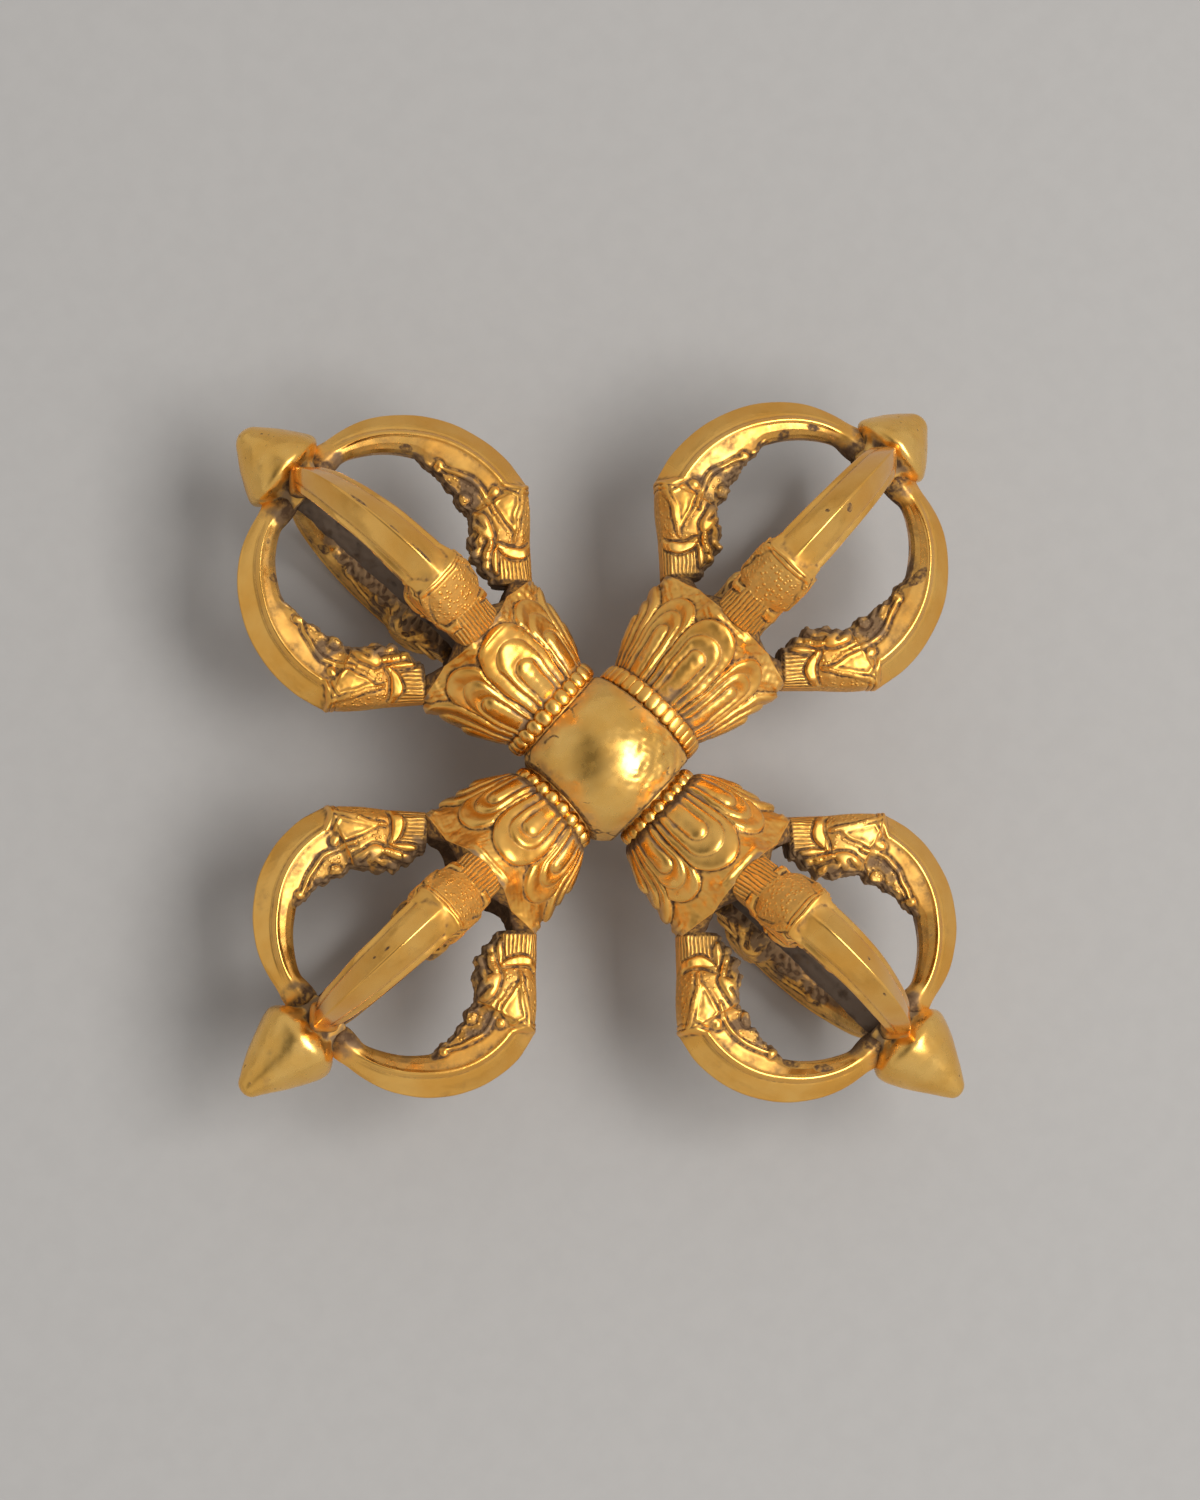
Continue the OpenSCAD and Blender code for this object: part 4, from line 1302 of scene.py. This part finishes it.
        # The horn's inner faces take dark film and dusting: brown dirt, and painted shade for the cage's dark
        # inside.
        inner = ramp(under, 0.1, 0.8) * horny
        film = self.horn_film_and_shade * inner + self.head_film * headed * sideways * (1.0 - horny)
        film = film * mix(0.5, 1.0, patchy)
        soil = ends + stains * ramp(t, tip - 0.1, tip + 0.1) + film + self.fleck_soil * self.flecks(t, y)
        joint = ramp(t, 1.86, 1.96)
        dusty_and_shaded = self.mane_dust_and_shade * np.maximum(mane, neck) + self.inner_dust_and_shade * inner
        shade = self.away_shade * away + dusty_and_shaded * patchy + self.joint_shade * joint * mix(0.6, 1.0, patchy)
        dull = np.clip(headed * (1.0 - bare * (1.0 - below)) + joint, 0.0, 1.0)
        marked = headed * (1.0 - bare * (1.0 - sideways))
        return {"heights": heights, "soil": soil, "shade": np.clip(shade, 0.0, 1.0), "dull": dull,
                "ribs": ribs, "ribbed": ribbed * marked, "punched": punched * marked}

    def build(self) -> Piece:
        """Prong as one closed shell with relief by its normals; a back prong is worn flat where it rests."""
        points, depth, t = self.form()
        normal = normals(points)
        fields = self.chase(points, normal, depth, t)
        relief = fields.pop("heights")
        level = (relief - soften(relief, 5, 4)) / self.level_span - fields.pop("soil")
        solid = ramp(t, self.foot_t, self.foot_t + 0.03) * (1.0 - ramp(t, 1.985, 2.0))
        points = points + normal * (relief * solid[:, None])[..., None]
        if self.side is Side.BACK:
            points[..., 2] = np.minimum(points[..., 2], self.arm.lift)
        name = self.arm.node(f"{self.side.name.lower()}_prong_chased")
        points = self.arm.place(points, self.side.value)
        return shell(name, points, relief=np.clip(level, -1.0, 1.0), **fields)


@dataclass(frozen=True)
class CentreProng:
    """Square bar inside the cage, set edge up, rough and dark all over."""

    arm: ArmFrame
    start: float
    end: float
    seed: int
    width: float = 4.5
    overlap: float = 0.3
    power: float = 5.0
    waist: float = 0.04
    level_span: float = 0.35
    shade: float = 0.7
    rows: int = 70
    columns: int = 64

    def build(self) -> Piece:
        """Bar: a superellipse of power 5, turned an eighth, carried along the arm with a cast roughness."""
        along = np.linspace(self.start - self.overlap, self.end + self.overlap, self.rows)[:, None]
        angle = around(self.columns)
        c, s = np.abs(np.cos(angle - np.pi / 4.0)), np.abs(np.sin(angle - np.pi / 4.0))
        radius = 0.5 * self.width / (c**self.power + s**self.power) ** (1.0 / self.power)
        drawn_in = np.sin(np.pi * (along - self.start) / (self.end - self.start))
        points = turned(along, radius * (1.0 - self.waist * drawn_in), angle)
        relief = uneven(points, (0.1, self.seed, 4.5), (0.06, self.seed + 1, 1.3))
        level = np.clip((relief - soften(relief, 4, 4)) / self.level_span, -1.0, 1.0)
        points = self.arm.place(lifted(points, relief))
        return shell(self.arm.node("bar"), points, relief=level, shade=self.shade)


@dataclass(frozen=True)
class Finial:
    """Rounded block on which four horns end, and its four-ridged bud."""

    arm: ArmFrame
    block_x: float
    tip_x: float
    ridge_r: float
    block_l: float
    tip_r: float
    seed: int
    block_half: float = 3.8
    block_power: float = 2.2
    belly: float = 0.2
    tip_a: float = np.radians(42.0)
    cap_a: float = np.radians(84.0)
    taper: float = 1.4
    softness: float = 1.0
    ridge_power: float = 1.75
    edge: tuple[float, ...] = (0.45, 0.8, 0.94)
    pit_depth: float = 0.1
    neck_ease: float = 0.4
    taper_start: float = 0.4
    horn_half: float = 1.6
    stain_reach: float = 1.1
    stain_soil: float = 1.3
    block_shade: float = 0.75
    level_span: float = 0.12
    block_rows: int = 16
    bud_rows: int = 64
    cap_rows: int = 10
    columns: int = 128

    @property
    def neck_x(self) -> float:
        """Where the block ends and the bud begins."""
        return self.block_x + self.block_l

    @property
    def tip_l(self) -> float:
        """Length of the round tip: a ball's cap that starts where its slope is that of the cone."""
        return self.tip_r * (1.0 - np.sin(self.tip_a)) / np.cos(self.tip_a)

    def section(self, along: Grid, angle: Grid) -> Grid:
        """Radius of block and bud: the softened lesser of a widening square and a tapering ridged form.

        Args:
            along: places along the arm.
            angle: angle round the arm.

        Returns:
            The radius at each place and angle.
        """
        c, s = np.abs(np.cos(angle)), np.abs(np.sin(angle))
        past = along - self.block_x - self.block_l
        length = self.tip_x - self.tip_l - self.block_x - self.block_l
        belly = self.belly * length
        widening = 0.5 * (past + np.hypot(past, self.neck_ease)) * (self.ridge_r - self.block_half) / belly
        power = self.block_power
        square = (self.block_half + widening) / (c**power + s**power) ** (1.0 / power)
        start = self.taper_start * belly
        share = np.clip((past - start) / (length - start), 0.0, 1.0)
        power = self.ridge_power
        ridged = mix(self.ridge_r, self.tip_r, share**self.taper) / (c**power + s**power) ** (1.0 / power)
        return -self.softness * np.logaddexp(-square / self.softness, -ridged / self.softness)

    def stains(self, along: Grid, angle: Grid) -> Grid:
        """Solder, dirt and painted shade round each horn's end: a soft band about a square on each face's
        middle.
        """
        quarter = np.pi / 2.0
        across = np.abs(np.mod(angle + quarter / 2.0, quarter) - quarter / 2.0) * self.block_half
        gap = np.hypot(np.clip(across - self.horn_half, 0.0, None), np.clip(along - self.neck_x, 0.0, None))
        return mound(gap, self.stain_reach)

    def build(self) -> Piece:
        """Block and bud as one shell of rings, closed by a rounded tip."""
        angle = around(self.columns)
        cap = np.linspace(self.tip_a, self.cap_a, self.cap_rows)[1:]
        ball_r = self.tip_r / np.cos(self.tip_a)
        end = self.tip_x - self.tip_l
        along = np.concatenate([
            np.full(len(self.edge), self.block_x),
            np.linspace(self.block_x + 0.25, self.neck_x, self.block_rows),
            np.linspace(self.neck_x, end, self.bud_rows)[1:],
            end + ball_r * (np.sin(cap) - np.sin(self.tip_a))])[:, None]
        even = np.ones(self.block_rows + self.bud_rows - 1)
        scale = np.concatenate([self.edge, even, np.cos(cap) / np.cos(self.tip_a)])[:, None]
        points = turned(along, self.section(np.minimum(along, end), angle) * scale, angle)
        worn = mix(0.3, 1.0, ramp(along, self.tip_x - 6.0, self.tip_x - 1.0))
        pits = -self.pit_depth * ramp(Unevenness(self.seed + 2, 0.9).at(points), 1.35, 1.9) * worn
        relief = uneven(points, (0.05, self.seed, 5.0), (0.012, self.seed + 1, 1.4)) + pits
        patchy = 0.6 + 0.4 * Unevenness(self.seed + 3, 2.2).at(points)
        # The block's face towards the hub, inside the cage, takes full dusting: painted shade.
        face = 1.0 - ramp(np.arange(len(along)), 1.0, 4.0)[:, None]
        block = 1.0 - ramp(along, self.neck_x - 0.2, self.neck_x + 1.6) + 0.0 * angle
        # Dark soil round the horns' ends: solder and dirt, and painted shade in the crevices there.
        soil = self.stain_soil * self.stains(along, angle) * np.clip(patchy, 0.0, 1.0)
        shade = np.maximum(face, self.block_shade * block * np.clip(patchy, 0.3, 1.0))
        level = np.clip((relief - soften(relief, 4, 5)) / self.level_span - soil, -1.0, 1.0)
        points = self.arm.place(lifted(points, relief))
        return shell(self.arm.node("bud"), points, relief=level, shade=shade, dull=block)


@dataclass(frozen=True)
class ArmForm:
    """What sets one arm's work apart: beads, petals and their ground, bud, and dark marks on its front horn.

    A mark has a station along the prong, a distance from the crest, and its half length and half width.
    """

    beads: int
    bead_form: BeadForm
    petal_l: float
    line_halves: tuple[float, ...]
    line_ends: tuple[float, ...]
    cast_rough: float
    petal_dull: float
    bud_r: float
    bud_start: float
    tip_r: float
    tip_more: float
    marks: tuple[tuple[float, float, float, float], ...]


FORMS = {
    "east": ArmForm(
        beads=34, bead_form=BeadForm.FLAT, petal_l=13.6, line_halves=(1.2, 2.45, 3.8),
        line_ends=(0.64, 0.82, 1.0), cast_rough=0.8, petal_dull=0.65,
        bud_r=6.9, bud_start=2.9, tip_r=1.9, tip_more=-1.1,
        marks=((1.31, -0.9, 0.024, 0.85), (1.24, 1.1, 0.012, 0.4))),
    "north": ArmForm(
        beads=24, bead_form=BeadForm.SQUARISH, petal_l=12.7, line_halves=(1.5, 2.6, 4.35),
        line_ends=(0.54, 0.8, 1.0), cast_rough=1.0, petal_dull=0.3,
        bud_r=7.3, bud_start=2.8, tip_r=2.0, tip_more=0.2,
        marks=((1.42, -0.3, 0.07, 0.34), (1.1, -0.35, 0.08, 0.3), (1.24, -0.3, 0.04, 0.24))),
    "west": ArmForm(
        beads=19, bead_form=BeadForm.ROUND, petal_l=10.8, line_halves=(1.3, 2.5, 4.1),
        line_ends=(0.555, 0.75, 1.0), cast_rough=0.45, petal_dull=0.45,
        bud_r=7.0, bud_start=3.1, tip_r=1.5, tip_more=0.6,
        marks=((1.3, -1.0, 0.026, 0.24), (1.37, -1.3, 0.014, 0.2))),
    "south": ArmForm(
        beads=20, bead_form=BeadForm.ROUND, petal_l=11.4, line_halves=(1.5, 2.9, 4.15),
        line_ends=(0.56, 0.79, 1.0), cast_rough=0.45, petal_dull=0.35,
        bud_r=7.3, bud_start=2.4, tip_r=1.4, tip_more=0.1,
        marks=((1.33, 1.2, 0.014, 0.26), (1.5, -0.6, 0.016, 0.2))),
}


@dataclass
class Arm:
    """One arm of the vajra: collar, cup, centre prong, finial and four outer prongs."""

    frame: ArmFrame
    form: ArmForm
    horn_x: float
    collar_r: float
    hub_r: float
    seed: int
    seat_slope: float = SEAT_SLOPE
    corner_seat: float = CORNER_SEAT
    horn_end: float = 4.1
    bar_sink: float = 0.8
    back_rings: tuple[int, int, int] = (64, 56, 40)
    back_spans: tuple[int, ...] = (8, 8, 11, 11, 8, 4)
    pieces: dict[str, tuple[Piece, str]] = field(default_factory=dict)

    @property
    def seat_x(self) -> float:
        """Place of the collar's seat on the hub."""
        return self.frame.span("beaded_collar")[0]

    def build(self) -> None:
        """Build the arm's pieces where its CAD nodes lie."""
        form, seed = self.form, self.seed
        seat_x, cup_x = self.frame.span("beaded_collar")
        block_x, tip_x = self.frame.span("finial")
        foot_x = self.frame.span("lotus_cup")[1] - self.corner_seat * np.sin(self.seat_slope)
        collar = BeadedCollar(
            self.frame, self.collar_r, form.beads, form.bead_form, seed, seat_x, cup_x, self.hub_r)
        cup = LotusCup(
            self.frame, cup_x, foot_x - cup_x, form.petal_l, form.line_halves, form.line_ends,
            form.cast_rough, form.petal_dull, seed + 10)
        bar = CentreProng(self.frame, foot_x - self.bar_sink, block_x, seed + 20)
        bud = Finial(
            self.frame, block_x, tip_x + form.tip_more, form.bud_r, form.bud_start, form.tip_r, seed + 30)
        self.pieces["beaded_collar"] = (collar.build(), "gilt")
        self.pieces["lotus_cup"] = (cup.build(), "gilt")
        self.pieces["centre_prong"] = (bar.build(), "dark_bronze")
        self.pieces["finial"] = (bud.build(), "worn_gilt")
        horn_l = block_x + self.horn_end - self.horn_x
        plainer = {"rings": self.back_rings, "spans": self.back_spans}
        more = {Side.BACK: plainer, Side.FRONT: {"marks": form.marks}}
        for number, side in enumerate(Side):
            own = seed + 40 + 10 * number
            prong = OuterProng(self.frame, side, own, foot_x, self.horn_x, horn_l, **more.get(side, {}))
            self.pieces[f"{side.name.lower()}_prong"] = (prong.build(), "gilt")

    def dress(self, finishes: dict[str, bpy.types.Material]) -> None:
        """Give each piece its finish, and set it on the frame in place of its CAD node."""
        for name, (piece, slot) in self.pieces.items():
            dress(piece, self.frame.node(name), slot, finishes)


def dress(piece: Piece, node: str, slot: str, finishes: dict[str, bpy.types.Material]) -> None:
    """Give a piece its finish, and let it stand for its CAD node.

    Args:
        piece: the piece.
        node: the CAD node that it stands for.
        slot: the material slot of its finish.
        finishes: materials by slot.
    """
    piece.data.materials.append(finishes[slot])
    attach(piece, BODY)
    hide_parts(node)
    log.info("%s stands for %s in %s, %d faces", piece.name, node, slot, len(piece.data.polygons))


@dataclass(frozen=True)
class Studio:
    """Pale floor, one soft box from the right, an even surround and the camera."""

    hub: Vector
    lean: float = np.radians(10.14)
    lean_north: float = np.radians(0.29)
    distance: float = 0.65
    focal_px: float = 4539.0
    frame_h_px: float = 1500.0
    sensor_mm: float = 30.0
    roll: float = np.radians(-1.63)
    aim: tuple[float, float] = (0.0, 0.0017)
    floor_reach: float = 3.0
    floor_colour: Colour = (0.396, 0.385, 0.375)
    paper_tone: float = 0.975
    surround: Colour = (0.565, 0.56, 0.555)
    dim_share: float = 0.3
    dim_off: tuple[float, float] = (0.4, 0.02)
    dim_scale: tuple[float, float] = (2.3, 1.25)
    box_off: float = np.radians(34.0)
    box_distance: float = 1.3
    box_size: tuple[float, float] = (0.62, 1.05)
    box_power: float = 15.5
    box_colour: Colour = (1.0, 0.985, 0.96)

    def axes(self) -> tuple[Vector, Vector, Vector]:
        """Camera's right, up and backward directions: it leans from straight above towards the west arm."""
        back = Vector((-np.sin(self.lean), np.sin(self.lean_north), np.cos(self.lean))).normalized()
        high = Matrix.Rotation(self.roll, 3, "Z") @ Vector((1.0, 1.0, 0.0)).normalized()
        right = (-back).cross(high).normalized()
        return right, back.cross(right).normalized(), back

    def camera(self) -> None:
        """Camera at the photograph's viewing angle."""
        right, up, back = self.axes()
        data = bpy.data.cameras.new("camera")
        data.sensor_fit = "VERTICAL"
        data.sensor_height = self.sensor_mm
        data.lens = self.sensor_mm * self.focal_px / self.frame_h_px
        data.clip_start = 0.01
        eye = bpy.data.objects.new("camera", data)
        turn = Matrix((right, up, back)).transposed().to_4x4()
        place = self.hub + back * self.distance + right * self.aim[0] + up * self.aim[1]
        eye.matrix_world = Matrix.Translation(place) @ turn
        bpy.context.scene.collection.objects.link(eye)
        bpy.context.scene.camera = eye

    def floor(self) -> None:
        """Plain pale floor under the object, with a faint paper tone."""
        mesh = bpy.data.meshes.new("floor")
        reach = self.floor_reach
        corners = [(-reach, -reach, 0), (reach, -reach, 0), (reach, reach, 0), (-reach, reach, 0)]
        mesh.from_pydata(corners, [], [(0, 1, 2, 3)])
        made = bpy.data.materials.new("floor_paper")
        made.use_nodes = True
        build = Nodes(made.node_tree)
        place = build.add("TexCoord").outputs["Object"]
        tone = build.spread(build.noise(place, 260.0, 5.0), 0.3, 0.7, 0.0, 1.0)
        dark = tuple(self.paper_tone * c for c in self.floor_colour)
        colour = build.blend(tone, (*dark, 1.0), (*self.floor_colour, 1.0))
        paper = {"Base Color": colour, "Roughness": 0.9, "Specular IOR Level": 0.1}
        shader = build.add("BsdfPrincipled", paper)
        build.add("OutputMaterial", {"Surface": shader.outputs[0]})
        mesh.materials.append(made)
        floor = bpy.data.objects.new("floor", mesh)
        bpy.context.scene.collection.objects.link(floor)

    def light(self) -> None:
        """Soft box to the right of the camera, and an even surround that is darker about the camera."""
        right, up, back = self.axes()
        data = bpy.data.lights.new("soft_box", "AREA")
        data.shape = "RECTANGLE"
        data.size, data.size_y = self.box_size
        data.energy = self.box_power
        data.color = self.box_colour
        away = (back * np.cos(self.box_off) + right * np.sin(self.box_off)).normalized()
        side = up.cross(away).normalized()
        lamp = bpy.data.objects.new("soft_box", data)
        turn = Matrix((side, away.cross(side), away)).transposed().to_4x4()
        lamp.matrix_world = Matrix.Translation(self.hub + away * self.box_distance) @ turn
        bpy.context.scene.collection.objects.link(lamp)
        world = bpy.data.worlds.new("surround")
        bpy.context.scene.world = world
        world.use_nodes = True
        build = Nodes(world.node_tree)
        way = build.add("TexCoord").outputs["Generated"]
        across, upward, over = (
            build.add("VectorMath", {0: way, 1: axis}, operation="DOT_PRODUCT").outputs["Value"]
            for axis in (right, up, back))
        x, y = (
            build.math("MULTIPLY", build.math("ADD", value, off), scale)
            for value, off, scale in zip((across, upward), self.dim_off, self.dim_scale))
        far = build.math("SQRT", build.plus(build.math("MULTIPLY", x, x), y, y))
        near, above = build.spread(far, 0.25, 1.15, 1.0, 0.0), build.spread(over, 0.0, 0.2, 0.0, 1.0)
        patch = build.math("MULTIPLY", near, above)
        dim = tuple(self.dim_share * c for c in self.surround)
        sky = build.blend(patch, (*self.surround, 1.0), (*dim, 1.0))
        ground = build.add("Background", {"Color": sky, "Strength": 1.0})
        build.add("OutputWorld", {"Surface": ground.outputs[0]})

    def build(self) -> None:
        """Set up the camera, the floor and the light, with plain colour management."""
        self.camera()
        self.floor()
        self.light()
        bpy.context.scene.view_settings.view_transform = "Standard"


def arms(lift: float, hub_r: float) -> list[Arm]:
    """Arms at the bearings of the record's rests, with the work that each has.

    Args:
        lift: height of the hub's middle, in millimetres.
        hub_r: radius of the hub, in millimetres.

    Returns:
        The four arms.
    """
    rests = {mount["name"]: mount["pos_m"] for mount in frame["record"]["mounts"]}
    made = []
    for number, name in enumerate(ARMS):
        x, y, _ = rests[f"rest_{name}"]
        low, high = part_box(f"{name}_beaded_collar")
        arm = ArmFrame(name, float(np.arctan2(y, x)), lift)
        horn_x, collar_r = float(np.hypot(x, y)) / MM, (high.z - low.z) / 2.0 / MM
        made.append(Arm(arm, FORMS[name], horn_x, collar_r, hub_r, SEED_STEP * (number + 1)))
    return made


def main() -> None:
    """Build and dress the hub and the arms, then the studio round them."""
    logging.basicConfig(level=logging.INFO, format="%(message)s")
    effects = Effects()
    finishes = {finish.slot: finish.material(effects) for finish in FINISHES}
    low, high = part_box("hub")
    middle = (low + high) / 2.0
    Studio(middle).build()
    lift, hub_r = middle.z / MM, (high.z - low.z) / 2.0 / MM
    four = arms(lift, hub_r)
    seats = tuple((arm.frame.bearing, arm.seat_x) for arm in four)
    dress(Hub(lift, hub_r, seats).build(), "hub", "worn_gilt", finishes)
    for arm in four:
        arm.build()
        arm.dress(finishes)


if __name__ == "__main__":
    main()
